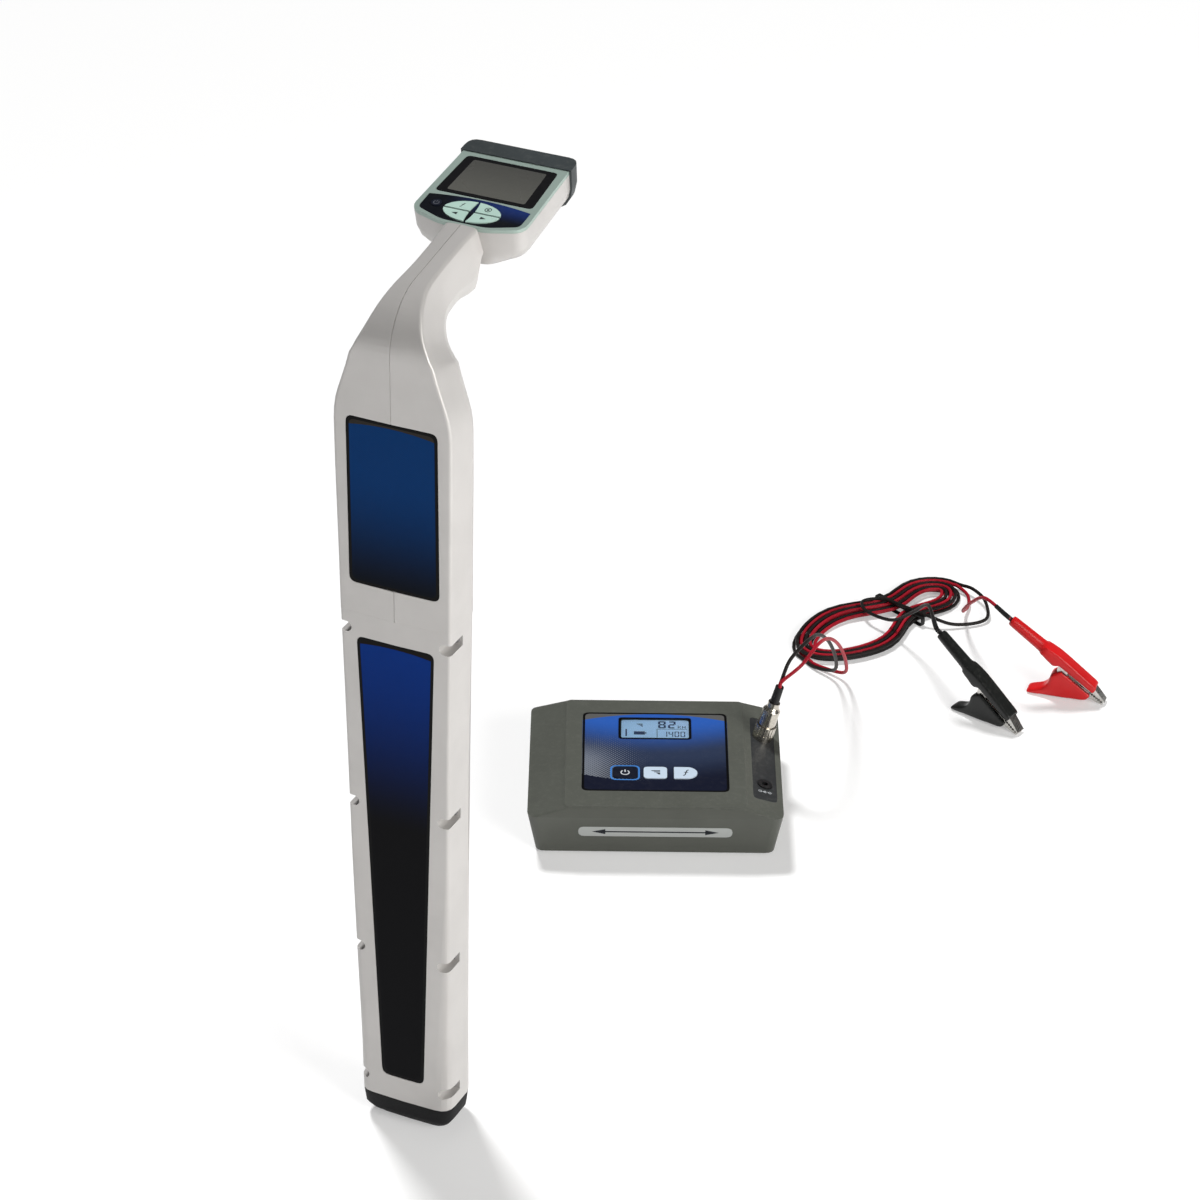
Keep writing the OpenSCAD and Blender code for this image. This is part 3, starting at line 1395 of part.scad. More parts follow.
boot_back = lever_bend - [boot_wall, 0];
boot_hinge = [-boot_wall / 2, -jaw_split - boot_wall / 2];
boot_chin = [boot_end, -jaw_height - boot_wall];
boot_throat = lever_bend + [lever_throat, 0];
moving_boot_outline = [
    lever_tab + [-boot_wall, boot_wall], boot_toe,
    each corner(boot_toe, boot_back, lever_heel, boot_back_round),
    each corner(boot_back, lever_heel, boot_hinge, boot_end_round),
    boot_hinge, [boot_end, -jaw_split - boot_wall / 2],
    each corner([boot_end, -jaw_split - boot_wall / 2], boot_chin, boot_throat, boot_end_round),
    boot_throat, lerp(lever_bend, lever_tab, lever_belly_share) + [lever_belly, 0], lever_tab
];

module clip_fixed_boot(i) {
    in_clip(i) difference() {
        union() {
            translate([-tail_reach, tail_y, tail_z]) rotate([0, 90, 0])
                cylinder(r1 = tail_radius - boot_wall / 2, r2 = tail_radius, h = tail_reach - neck_x);
            jaw_slab(fixed_boot_outline, 0, boot_width);
        }
        jaw_slab([[-neck_x - seat_gap, jaw_split + boot_wall - seat_gap], [-ear_radius - run_gap, jaw_split],
            [-ear_radius - run_gap, -boot_width], [jaw_reach, -boot_width],
            [jaw_reach, jaw_height + seat_gap], [-neck_x - seat_gap, jaw_height + seat_gap]],
            jaw_z - seat_gap, jaw_z + jaw_width + seat_gap);
    }
}

module clip_moving_boot(i) {
    in_clip(i) difference() {
        jaw_slab(moving_boot_outline, 0, boot_width);
        jaw_slab(moving_outline, jaw_z - seat_gap, jaw_z + jaw_width + seat_gap);
        ear(ear_radius + run_gap, jaw_z - seat_gap, jaw_z + jaw_width + seat_gap);
    }
}

module black_clip_fixed_jaw() { color("Silver") clip_fixed_jaw(0); }
module black_clip_moving_jaw() { color("Silver") clip_moving_jaw(0); }
module black_clip_fixed_boot() { color("DimGray") clip_fixed_boot(0); }
module black_clip_moving_boot() { color("DimGray") clip_moving_boot(0); }
module red_clip_fixed_jaw() { color("Silver") clip_fixed_jaw(1); }
module red_clip_moving_jaw() { color("Silver") clip_moving_jaw(1); }
module red_clip_fixed_boot() { color("Red") clip_fixed_boot(1); }
module red_clip_moving_boot() { color("Red") clip_moving_boot(1); }

rx_lower_front_shell();
rx_lower_rear_shell();
rx_upper_front_shell();
rx_upper_rear_shell();
rx_foot_boot();
rx_head_tub();
rx_head_frame();
rx_end_bumper();
rx_display_window();
rx_display_panel();
rx_keypad_overlay();
rx_key_mode();
rx_key_frequency();
rx_key_left();
rx_key_right();
rx_key_power();
rx_main_board();
rx_sounder();
rx_upper_label();
rx_lower_label();
rx_battery_door();
rx_battery_tray();
rx_battery_cells();
rx_antenna_board();
rx_antenna_coils();
rx_case_screws();
tx_cover();
tx_base_plate();
tx_feet();
tx_base_screws();
tx_panel_overlay();
tx_display_window();
tx_display_panel();
tx_key_power();
tx_key_signal();
tx_key_frequency();
tx_circuit_board();
tx_connector_plate();
tx_output_socket();
tx_power_jack();
tx_battery_pack();
tx_induction_coil();
tx_arrow_label();
plug_barrel();
plug_coupling_ring();
lead_sleeve();
black_lead_runs();
black_lead_hank();
red_lead_runs();
red_lead_hank();
lead_tie();
black_clip_fixed_jaw();
black_clip_moving_jaw();
black_clip_fixed_boot();
black_clip_moving_boot();
red_clip_fixed_jaw();
red_clip_moving_jaw();
red_clip_fixed_boot();
red_clip_moving_boot();
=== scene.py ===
# %% [markdown]
# This lesson dresses a cable locating set: a tall receiver wand with a display head, a flat
# transmitter box, and a two-wire lead with a tied hank and two clips. The solids come from a
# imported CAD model, so every piece already sits where it belongs. Blender adds what a solid lacks:
# softened edges, finishes, printed signs, lit digits and real wires. Blender works in metres, and
# the sizes here are written in millimetres where nothing else is said.

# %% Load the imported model
import math

import bmesh
import bpy
from mathutils import Matrix, Vector

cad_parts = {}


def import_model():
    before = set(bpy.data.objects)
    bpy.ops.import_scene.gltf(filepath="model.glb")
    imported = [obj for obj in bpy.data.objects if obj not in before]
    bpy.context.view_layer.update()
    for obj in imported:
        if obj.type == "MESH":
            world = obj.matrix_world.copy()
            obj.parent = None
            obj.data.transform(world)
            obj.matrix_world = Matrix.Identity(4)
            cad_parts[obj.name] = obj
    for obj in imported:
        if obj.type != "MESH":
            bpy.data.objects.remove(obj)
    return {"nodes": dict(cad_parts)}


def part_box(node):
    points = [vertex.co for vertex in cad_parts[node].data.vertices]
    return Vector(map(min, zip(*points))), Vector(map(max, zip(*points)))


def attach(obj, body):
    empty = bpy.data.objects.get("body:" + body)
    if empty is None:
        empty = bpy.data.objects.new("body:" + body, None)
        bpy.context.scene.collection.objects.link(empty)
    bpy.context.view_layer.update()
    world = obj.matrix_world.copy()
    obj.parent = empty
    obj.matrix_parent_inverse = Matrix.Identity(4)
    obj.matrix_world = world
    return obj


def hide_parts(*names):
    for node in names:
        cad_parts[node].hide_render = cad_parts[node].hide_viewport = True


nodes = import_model()["nodes"]
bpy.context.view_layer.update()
MM = 0.001
ROOT = "locator_set"


def show(name, data):
    """A new object of the scene for a mesh, a curve, a lamp or a camera."""
    thing = bpy.data.objects.new(name, data)
    bpy.context.scene.collection.objects.link(thing)
    return thing


def box_mm(node):
    """Lowest and highest corner of a solid, in millimetres."""
    return [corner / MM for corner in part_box(node)]


# %% [markdown]
# The camera stands to the right of the wand, well above it and far away, with a long lens. A long
# lens keeps the wand's sides almost parallel, as they are in the picture. An aim constraint could
# point the camera, but this one also leans a little, so its axes are worked out one by one and put
# into one matrix.

# %% Camera
VIEW_TURN = math.radians(25)
VIEW_DIP = math.radians(30)
VIEW_LEAN = math.radians(0.65)
CAMERA_PLACE = Vector((1.219791, -2.280365, 1.965071))
SENSOR_WIDTH = 36
FOCAL_LENGTH = 120
FAR_CLIP = 50

across = Vector((math.cos(VIEW_TURN), math.sin(VIEW_TURN), 0))
ahead = Vector((
    -math.sin(VIEW_TURN) * math.cos(VIEW_DIP),
    math.cos(VIEW_TURN) * math.cos(VIEW_DIP),
    -math.sin(VIEW_DIP),
))
above = across.cross(ahead)
right = across * math.cos(VIEW_LEAN) + above * math.sin(VIEW_LEAN)
up = above * math.cos(VIEW_LEAN) - across * math.sin(VIEW_LEAN)
lens = bpy.data.cameras.new("long_lens")
lens.sensor_width = SENSOR_WIDTH
lens.lens = FOCAL_LENGTH
lens.clip_end = FAR_CLIP
camera = show("camera", lens)
camera.matrix_world = Matrix.Translation(CAMERA_PLACE) @ Matrix((right, up, -ahead)).transposed().to_4x4()
bpy.context.scene.camera = camera
print("camera at", [round(x, 3) for x in CAMERA_PLACE])

# %% [markdown]
# The lead is two limp wires side by side. Each one leaves the plug's sleeve, arches over and drops
# to the floor, winds into a hank that is drawn in at its waist by a tie, and runs on to its clip.
# The free runs are lists of given points, with a smooth curve through them. The turns of
# the hank come from one formula. Both repeat the route of the solids, so the wires lie where those do.

# %% Wire routes
LEAD_DIAMETER = 3.4
LEAD_RADIUS = LEAD_DIAMETER / 2
LEAD_IN = 22
LEAD_SETTLE = Vector((0, 0, 1))
LEAD_SPLIT = 1.85
STRAIGHT_END = 2 * LEAD_DIAMETER
FLOOR_GAP = 0.1
HANK_AT = Vector((45, 884, 0))
HANK_HEADING = -113
HANK_HALF_LENGTH = 106
HANK_HALF_WIDTH = 52
HANK_DRAW = 23
HANK_STEP = 4.4
HANK_LAYER = 4
HANK_LIFT = 1.1
HANK_TURNS = 2
HALF_TURN = 0.5
HANK_END = 2 * HANK_TURNS + HALF_TURN
WAIST_SHARE = -0.26
WAIST_REACH_SHARE = 0.36
WAIST_BLEND = 4
TURN_POINTS = 48
ROUTE_STEPS = 8
BOX_AT = Vector((-19, 497, 0))
BOX_TURN = 25
SHOULDER_AT = Vector((97.25, 0, 46.25))
SHOULDER_TILT = 15.1011
SOCKET_Y = 38.13
SLEEVE_TOP = 55.4
CLIP_PLACES = ((198, 763, -14), (250, 835, 7))
CLIP_DIP = math.radians(35.0561)
CLIP_LIFT = 30.2742
TAIL_REACH = 68
TAIL_Y = 4
TAIL_POINTS = (
    ((70, 592, 122), (75, 620, 128), (70, 660, 112), (64, 702, 80), (57, 738, 42), (46, 764, 12)),
    ((81, 592, 119), (84, 624, 125), (79, 664, 108), (73, 706, 76), (66, 742, 38), (54, 768, 9)),
)
END_POINTS = (
    ((108, 973, 8.6), (127, 956, 8.6), (137, 931, 3.4), (114, 908, 4), (88, 901, 10.8),
     (62, 905, 12.4), (38, 911, 11.6), (21, 899, 11), (33, 881, 11.6), (64, 868, 17),
     (94, 846, 46), (119, 813, 76)),
    ((104, 969, 2.8), (112, 950, 3.2), (115, 928, 9), (126, 897, 30), (145, 864, 60), (166, 840, 82)),
)


def ease(t):
    """A share from 0 to 1 that starts and ends gently."""
    t = min(1, max(0, t))
    return t * t * (3 - 2 * t)


def turned(point, degrees):
    """A point turned about the upright axis."""
    return Matrix.Rotation(math.radians(degrees), 3, "Z") @ Vector(point)


def hank_point(s, lane):
    """Point of one wire in the hank, where s counts turns and lane 1 lies inside lane 0."""
    middle = HANK_END / 2
    inset = -HANK_STEP * (2 * (middle - abs(s - middle)) + lane)
    angle = 2 * math.pi * s
    u = (HANK_HALF_LENGTH + inset) * math.cos(angle)
    off_waist = (u - WAIST_SHARE * HANK_HALF_LENGTH) / (WAIST_REACH_SHARE * HANK_HALF_LENGTH)
    pull = math.exp(-off_waist ** 2)
    way = 1 if math.sin(angle) < 0 else -1
    blended = min(1, abs(math.sin(angle)) * WAIST_BLEND)
    v = -(HANK_HALF_WIDTH + inset) * math.sin(angle) - way * HANK_DRAW * pull * blended
    second_layer = ease((s - HANK_TURNS) / HALF_TURN) * HANK_LAYER
    rise = LEAD_RADIUS + FLOOR_GAP + second_layer + HANK_LIFT * pull
    return turned((u, v, rise), HANK_HEADING) + HANK_AT


def smooth_route(points):
    """Smooth curve through chosen points, with the first and the last repeated as ends."""
    last = len(points) - 1
    made = []
    for i in range(last):
        a, b, c, d = (points[max(0, i - 1)], points[i], points[i + 1], points[min(last, i + 2)])
        for k in range(ROUTE_STEPS):
            t = k / ROUTE_STEPS
            made.append((2 * b + (c - a) * t + (2 * a - 5 * b + 4 * c - d) * t * t
                         + (3 * b - a - 3 * c + d) * t * t * t) / 2)
    return made + [points[last]]


tilt = math.radians(SHOULDER_TILT)
plug_way = turned((math.sin(tilt), 0, math.cos(tilt)), BOX_TURN)
plug_side = turned((0, 1, 0), BOX_TURN)
plug_foot = turned((SHOULDER_AT.x, SOCKET_Y, SHOULDER_AT.z), BOX_TURN) + BOX_AT
lead_exit = plug_foot + plug_way * SLEEVE_TOP


def wire_path(lane):
    """All points of one wire, from the sleeve to its clip, in millimetres."""
    start = lead_exit + plug_side * LEAD_SPLIT * (1 - 2 * lane)
    hank = [hank_point(k / TURN_POINTS, lane) for k in range(int(HANK_END * TURN_POINTS) + 1)]
    first = (hank[1] - hank[0]).normalized()
    final = (hank[-1] - hank[-2]).normalized()
    x, y, heading = CLIP_PLACES[lane]
    way = turned((math.cos(CLIP_DIP), 0, -math.sin(CLIP_DIP)), heading)
    back = -TAIL_REACH * math.cos(CLIP_DIP) + TAIL_Y * math.sin(CLIP_DIP)
    height = TAIL_REACH * math.sin(CLIP_DIP) + TAIL_Y * math.cos(CLIP_DIP) + CLIP_LIFT
    inlet = turned((back, 0, height), heading) + Vector((x, y, 0))
    tail = smooth_route([
        start, start + plug_way * STRAIGHT_END, *map(Vector, TAIL_POINTS[lane]),
        hank[0] - first * LEAD_IN + LEAD_SETTLE, hank[0] - first * STRAIGHT_END, hank[0],
    ])
    end = smooth_route([
        hank[-1], hank[-1] + final * STRAIGHT_END, *map(Vector, END_POINTS[lane]),
        inlet - way * STRAIGHT_END, inlet,
    ])
    return tail + hank[1:-1] + end


print("the lead leaves its sleeve at", [round(x, 1) for x in lead_exit])

# %% [markdown]
# A curve with a round bevel draws each wire along its route, and the line's length is the wire's
# true length. The curve then becomes a mesh, because a mesh has a box as large as the wire itself.
# A short shrink sleeve, swept ring by ring, grips the wire where it enters its clip.

# %% Wires and shrink sleeves
WIRE_ROUNDNESS = 3
SHRINK_LENGTH = 24
SHRINK_RADIUS = 2.3
SHRINK_SIDES = 16
SHRINK_GRIP_SHARE = 1.03
SHRINK_TAPER = 0.3
QUAD = 4


def run_length(points):
    """Length of a line through points."""
    return sum((b - a).length for a, b in zip(points, points[1:]))


def make_wire(name, points):
    """A round wire along points in metres."""
    data = bpy.data.curves.new(name, "CURVE")
    data.dimensions = "3D"
    data.bevel_depth = LEAD_RADIUS * MM
    data.bevel_resolution = WIRE_ROUNDNESS
    data.use_fill_caps = True
    line = data.splines.new("POLY")
    line.points.add(len(points) - 1)
    for spot, p in zip(line.points, points):
        spot.co = (p.x, p.y, p.z, 1)
    sketch = show(name + "_line", data)
    graph = bpy.context.evaluated_depsgraph_get()
    tube = bpy.data.meshes.new_from_object(sketch.evaluated_get(graph))
    bpy.data.objects.remove(sketch)
    wire = show(name, tube)
    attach(wire, ROOT)
    return wire


def from_bmesh(name, mesh):
    """A new object from a finished bmesh, whose faces all look outwards."""
    bmesh.ops.recalc_face_normals(mesh, faces=mesh.faces)
    data = bpy.data.meshes.new(name)
    mesh.to_mesh(data)
    mesh.free()
    return show(name, data)


def make_shrink(name, points):
    """A shrink sleeve over the last stretch of a wire, thinner at both ends."""
    spine = [points[-1]]
    for p in reversed(points[:-1]):
        if run_length([p, *spine]) > SHRINK_LENGTH * MM:
            break
        spine.insert(0, p)
    mesh = bmesh.new()
    rings = []
    last = len(spine) - 1
    turns = [2 * math.pi * j / SHRINK_SIDES for j in range(SHRINK_SIDES)]
    for k, p in enumerate(spine):
        way = (spine[min(k + 1, last)] - spine[max(k - 1, 0)]).normalized()
        side = way.orthogonal().normalized()
        other = way.cross(side)
        taper = math.sin(math.pi * (k + 1) / (len(spine) + 1)) ** SHRINK_TAPER
        radius = (LEAD_RADIUS * SHRINK_GRIP_SHARE + (SHRINK_RADIUS - LEAD_RADIUS) * taper) * MM
        rings.append([mesh.verts.new(p + (side * math.cos(a) + other * math.sin(a)) * radius) for a in turns])
    for low, high in zip(rings, rings[1:]):
        for j in range(SHRINK_SIDES):
            i = (j + 1) % SHRINK_SIDES
            mesh.faces.new((low[j], low[i], high[i], high[j]))
    mesh.faces.new(rings[0][::-1])
    mesh.faces.new(rings[-1])
    for face in mesh.faces:
        face.smooth = len(face.verts) == QUAD
    sleeve = from_bmesh(name, mesh)
    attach(sleeve, ROOT)
    return sleeve


wires = {}
shrinks = {}
for lane, colour in enumerate(("black", "red")):
    points = [p * MM for p in wire_path(lane)]
    wire = make_wire(f"{colour}_wire", points)
    shrink = make_shrink(f"{colour}_lead_shrink", points)
    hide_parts(f"{colour}_lead_runs", f"{colour}_lead_hank")
    wires[colour] = wire
    shrinks[colour] = shrink

# %% [markdown]
# The stage is one pale floor under plain studio light. A wide, low lamp from the right lights the
# sides that face it. A lamp from behind, as even as a sun, casts the shadows to the front, and a
# weak lamp and an even sky fill the rest. One lamp could do, but its shadow would be too hard.

# %% Stage and lamps
WHITE = (1, 1, 1, 1)
FLOOR_HALF = 15
FLOOR_DROP = 0.00005
SKY_LEVEL = 0.09
SUN_LEVEL = 2.9
SUN_SPREAD = math.radians(11)
SUN_FROM = Vector((-1.6, 1.4, 3.4))
KEY_LAMP = dict(at=(3, -0.8, 1.5), target=(0, 0.3, 0.35), size=1.8, watts=94, tint=(1, 0.985, 0.96))
FILL_LAMP = dict(at=(-2.4, -2, 1.6), target=(0, 0.2, 0.4), size=2.2, watts=3, tint=(0.95, 0.98, 1))


def aim(thing, way):
    """Turn a lamp so that it shines along a direction."""
    thing.rotation_euler = way.to_track_quat("-Z", "Y").to_euler()


def soft_lamp(name, at, target, size, watts, tint):
    """A square lamp at one place, aimed at another, in metres."""
    data = bpy.data.lights.new(name, "AREA")
    data.size = size
    data.energy = watts
    data.color = tint
    thing = show(name, data)
    thing.location = at
    aim(thing, Vector(target) - Vector(at))


soft_lamp("key_lamp", **KEY_LAMP)
soft_lamp("fill_lamp", **FILL_LAMP)
sun_light = bpy.data.lights.new("shadow_sun", "SUN")
sun_light.energy = SUN_LEVEL
sun_light.angle = SUN_SPREAD
shadow_sun = show("shadow_sun", sun_light)
aim(shadow_sun, -SUN_FROM)
shadow_sun.visible_glossy = False

world = bpy.data.worlds.new("even_sky")
world.use_nodes = True
sky = world.node_tree.nodes["Background"]
sky.inputs["Color"].default_value = WHITE
sky.inputs["Strength"].default_value = SKY_LEVEL
bpy.context.scene.world = world

corner_signs = ((-1, -1), (1, -1), (1, 1), (-1, 1))
floor_mesh = bpy.data.meshes.new("floor")
floor_mesh.from_pydata([(x * FLOOR_HALF, y * FLOOR_HALF, -FLOOR_DROP) for x, y in corner_signs],
                       [], [range(len(corner_signs))])
floor = show("floor", floor_mesh)
bpy.context.scene.view_settings.view_transform = "Standard"
print("floor and", len(bpy.data.lights), "lamps")

# %% [markdown]
# Every finish here is wired from nodes, so a few small helpers keep the wiring short. One fills a
# node's sockets, by value or by link, and one adds a node. Others do a sum, stretch a range, mix two
# colours, start a node group and place it. Wiring by hand gives the same, but can't be read.

# %% Node helpers
MIX_FACTOR = 0
MIX_FIRST = 6
MIX_SECOND = 7
MIX_COLOUR = 2


def fill(tree, node, inputs):
    """Fill a node's sockets: a socket is linked, and anything else is set as the value."""
    for key, value in inputs.items():
        if isinstance(value, bpy.types.NodeSocket):
            tree.links.new(value, node.inputs[key])
        else:
            node.inputs[key].default_value = value


def add(tree, kind, inputs=None, **settings):
    """A new node with its settings and its sockets filled."""
    made = tree.nodes.new(kind)
    for key, value in settings.items():
        setattr(made, key, value)
    fill(tree, made, inputs or {})
    return made


def calc(tree, operation, *values, clamp=False):
    """The result socket of one sum."""
    sums = add(tree, "ShaderNodeMath", dict(enumerate(values)), operation=operation, use_clamp=clamp)
    return sums.outputs[0]


def remap(tree, value, span, out_low=0, out_high=1):
    """A value stretched smoothly from a span to another range."""
    low, high = span
    inputs = {"Value": value, "From Min": low, "From Max": high, "To Min": out_low, "To Max": out_high}
    return add(tree, "ShaderNodeMapRange", inputs, interpolation_type="SMOOTHSTEP").outputs[0]


def blend(tree, factor, first, second):
    """A colour between two colours."""
    inputs = {MIX_FACTOR: factor, MIX_FIRST: first, MIX_SECOND: second}
    return add(tree, "ShaderNodeMix", inputs, data_type="RGBA").outputs[MIX_COLOUR]


def noise(tree, spot, scale, detail, roughness=0.5):
    """A cloudy value from 0 to 1."""
    inputs = {"Vector": spot, "Scale": scale, "Detail": detail, "Roughness": roughness}
    return add(tree, "ShaderNodeTexNoise", inputs).outputs["Fac"]


def object_spot(tree):
    """The place on the piece, in metres."""
    return add(tree, "ShaderNodeTexCoord").outputs["Object"]


def new_group(name, inputs, outputs):
    """A shader node group with named number sockets."""
    tree = bpy.data.node_groups.new(name, "ShaderNodeTree")
    for label, value in inputs.items():
        socket = tree.interface.new_socket(label, in_out="INPUT", socket_type="NodeSocketFloat")
        socket.default_value = value
    for label in outputs:
        tree.interface.new_socket(label, in_out="OUTPUT", socket_type="NodeSocketFloat")
    return tree, tree.nodes.new("NodeGroupInput").outputs, tree.nodes.new("NodeGroupOutput").inputs


def use(tree, group, **inputs):
    """The outputs of a placed node group, with its named inputs filled."""
    titled = {key.title(): value for key, value in inputs.items()}
    return add(tree, "ShaderNodeGroup", titled, node_tree=group).outputs


print("node helpers ready")

# %% [markdown]
# Moulded plastic copies the fine grain of its tool, and its tone drifts a little over a hand's
# width. A photo of plastic could give both, but noise in the piece's own space has no seams and
# needs no unwrapping. The group gives the grain as a height and the drift as a tone.

# %% Group: moulded grain
GRAIN_DETAIL = dict(detail=2, roughness=0.6)
DRIFT_DETAIL = dict(scale=22, detail=3, roughness=0.55)
moulded_grain, given, out = new_group("moulded_grain", {"Size": 0.0005}, ["Height", "Tone"])
spot = object_spot(moulded_grain)
fine = noise(moulded_grain, spot, calc(moulded_grain, "DIVIDE", 1, given["Size"]), **GRAIN_DETAIL)
broad = noise(moulded_grain, spot, **DRIFT_DETAIL)
moulded_grain.links.new(fine, out["Height"])
moulded_grain.links.new(broad, out["Tone"])
print("group", moulded_grain.name)

# %% [markdown]
# Edges that hands and pockets rub turn paler, and the same paler edges also serve as a painted highlight
# along the edges. A painted mask would do, but the Bevel node finds the edges by itself: where its
# rounded normal leaves the plain one, there is an edge. Noise breaks the wear up, because real wear is
# patchy.

# %% Group: worn edges and painted edge highlight
BEVEL_SAMPLES = 4
EDGE_SPAN = (0.02, 0.22)
PATCH_DETAIL = dict(scale=160, detail=4)
PATCH_SPAN = (0.35, 0.7)
PATCH_LEAST = 0.25
worn_and_highlit_edges, given, out = new_group("worn_and_highlit_edges", {"Radius": 0.0008, "Amount": 0.5}, ["Mask"])
rounded_normal = add(worn_and_highlit_edges, "ShaderNodeBevel", {"Radius": given["Radius"]}, samples=BEVEL_SAMPLES)
plain_normal = add(worn_and_highlit_edges, "ShaderNodeNewGeometry").outputs["Normal"]
agree = add(worn_and_highlit_edges, "ShaderNodeVectorMath", {0: rounded_normal.outputs[0], 1: plain_normal},
            operation="DOT_PRODUCT").outputs["Value"]
edge = remap(worn_and_highlit_edges, calc(worn_and_highlit_edges, "SUBTRACT", 1, agree), EDGE_SPAN)
patch = noise(worn_and_highlit_edges, object_spot(worn_and_highlit_edges), **PATCH_DETAIL)
edge = calc(worn_and_highlit_edges, "MULTIPLY", edge, remap(worn_and_highlit_edges, patch, PATCH_SPAN, PATCH_LEAST))
worn_and_highlit_edges.links.new(calc(worn_and_highlit_edges, "MULTIPLY", edge, given["Amount"], clamp=True), out["Mask"])
print("group", worn_and_highlit_edges.name)

# %% [markdown]
# Dust settles on what faces up. The upward part of the normal says where that is, and fine noise
# makes specks of it. A second, dusty copy of each material would be the long way to the same look.

# %% Group: settled dust
FACING_SPAN = (0.1, 1)
SPECK_DETAIL = dict(scale=240, detail=6, roughness=0.7)
SPECK_SPAN = (0.45, 0.8)
settled_dust, given, out = new_group("settled_dust", {"Amount": 0.2}, ["Mask"])
normal = add(settled_dust, "ShaderNodeNewGeometry").outputs["Normal"]
facing = add(settled_dust, "ShaderNodeSeparateXYZ", {0: normal}).outputs["Z"]
speck = noise(settled_dust, object_spot(settled_dust), **SPECK_DETAIL)
layer = calc(settled_dust, "MULTIPLY", remap(settled_dust, facing, FACING_SPAN),
             remap(settled_dust, speck, SPECK_SPAN))
settled_dust.links.new(calc(settled_dust, "MULTIPLY", layer, given["Amount"], clamp=True), out["Mask"])
print("group", settled_dust.name)

# %% [markdown]
# The printed films share two effects of the press: a fade from one ink to another, and a screen of
# dots on a slanted grid. An image would fix their size for good, while a group can stretch the fade
# and change the pitch for each film.

# %% Groups: printed fade and dot screen
CELL_MIDDLE_SHARE = 0.5
printed_fade, given, out = new_group("printed_fade", {"Along": 0, "Low": 0, "High": 1}, ["Fade"])
fade = remap(printed_fade, given["Along"], (given["Low"], given["High"]))
printed_fade.links.new(fade, out["Fade"])

dot_inputs = {"Across": 0, "Along": 0, "Pitch": 0.001, "Size": 0.3}
dot_screen, given, out = new_group("dot_screen", dot_inputs, ["Dots"])
squares = []
for operation in ("ADD", "SUBTRACT"):
    slanted = calc(dot_screen, operation, given["Across"], given["Along"])
    in_cell = calc(dot_screen, "FRACT", calc(dot_screen, "DIVIDE", slanted, given["Pitch"]))
    offset = calc(dot_screen, "SUBTRACT", in_cell, CELL_MIDDLE_SHARE)
    squares.append(calc(dot_screen, "MULTIPLY", offset, offset))
from_middle = calc(dot_screen, "SQRT", calc(dot_screen, "ADD", *squares))
dot_screen.links.new(calc(dot_screen, "LESS_THAN", from_middle, given["Size"]), out["Dots"])
print("node groups:", [group.name for group in bpy.data.node_groups])

# %% [markdown]
# Most of the set is moulded plastic or rubber, and the same recipe serves all of it with other
# numbers: a base colour that drifts a little, a fine grain in the roughness and the bump, paler edges
# that are partly wear and partly painted highlight, and a breath of dust on what faces up. Metal gets a
# drawn grain, darker handling marks and brighter edges, partly wear and partly painted highlight,
# instead. The Principled shader stays in each material.

# %% Recipes for plastic and metal
DUST = (0.62, 0.6, 0.56, 1)
DUST_DULLS = 0.4
TONE_SPAN = (0.3, 0.7)
GRAIN_SPAN = (0.25, 0.75)
GLOSS_SWING = 0.06
GRAIN_RISE = 0.1
COAT_ROUGHNESS = 0.25
WORN_HIGHLIGHT_LIFT = 0.02
DRAWN_DETAIL = dict(scale=900, detail=3)
DRAWN_SPAN = (0.2, 0.8)
DRAWN_GLOSS = (-0.07, 0.09)
DRAWN_RISE = 0.05
MARK_GRAIN = 4
MARK_SPAN = (0.3, 0.75)
MARK_TONES = (0.82, 1.05)
METAL_EDGE = dict(radius=0.0004, amount=0.5)
METAL_EDGE_TONE = 1.35


def rgba(colour, gain=1):
    """A socket colour from red, green and blue, made stronger or weaker."""
    return tuple(min(1, c * gain) for c in colour) + (1,)


def new_finish(name):
    """A new material, its node tree and its shader."""
    made = bpy.data.materials.new(name)
    made.use_nodes = True
    return made, made.node_tree, made.node_tree.nodes["Principled BSDF"]


def relief(tree, height, strength, rise):
    """A normal with small relief from a height, where rise is its depth in millimetres."""
    inputs = {"Height": height, "Strength": strength, "Distance": rise * MM}
    return add(tree, "ShaderNodeBump", inputs).outputs[0]


def moulded(name, colour, rough, grain, depth, wear_highlight, dust, drift, coat=0, metal=0, specular=0.5, pale=1.9):
    """Plastic or rubber with grain, paler edges that are partly wear and partly painted highlight, and dust.
    """
    made, tree, shader = new_finish(name)
    surface = use(tree, moulded_grain, size=grain * MM)
    tone = remap(tree, surface["Tone"], TONE_SPAN)
    base = blend(tree, tone, rgba(colour, 1 - drift), rgba(colour, 1 + drift))
    edge = use(tree, worn_and_highlit_edges, amount=wear_highlight)["Mask"]
    dusty = use(tree, settled_dust, amount=dust)["Mask"]
    # Paler edges: partly wear, partly a painted highlight along the edges.
    worn_highlit = blend(tree, edge, base, rgba([WORN_HIGHLIGHT_LIFT + c * pale for c in colour]))
    gloss = remap(tree, surface["Height"], GRAIN_SPAN, rough - GLOSS_SWING, rough + GLOSS_SWING)
    fill(tree, shader, {
        "Base Color": blend(tree, dusty, worn_highlit, DUST),
        "Roughness": calc(tree, "ADD", gloss, calc(tree, "MULTIPLY", dusty, DUST_DULLS), clamp=True),
        "Normal": relief(tree, surface["Height"], depth, GRAIN_RISE),
        "Coat Weight": coat,
        "Coat Roughness": COAT_ROUGHNESS,
        "Metallic": metal,
        "Specular IOR Level": specular,
    })
    return made


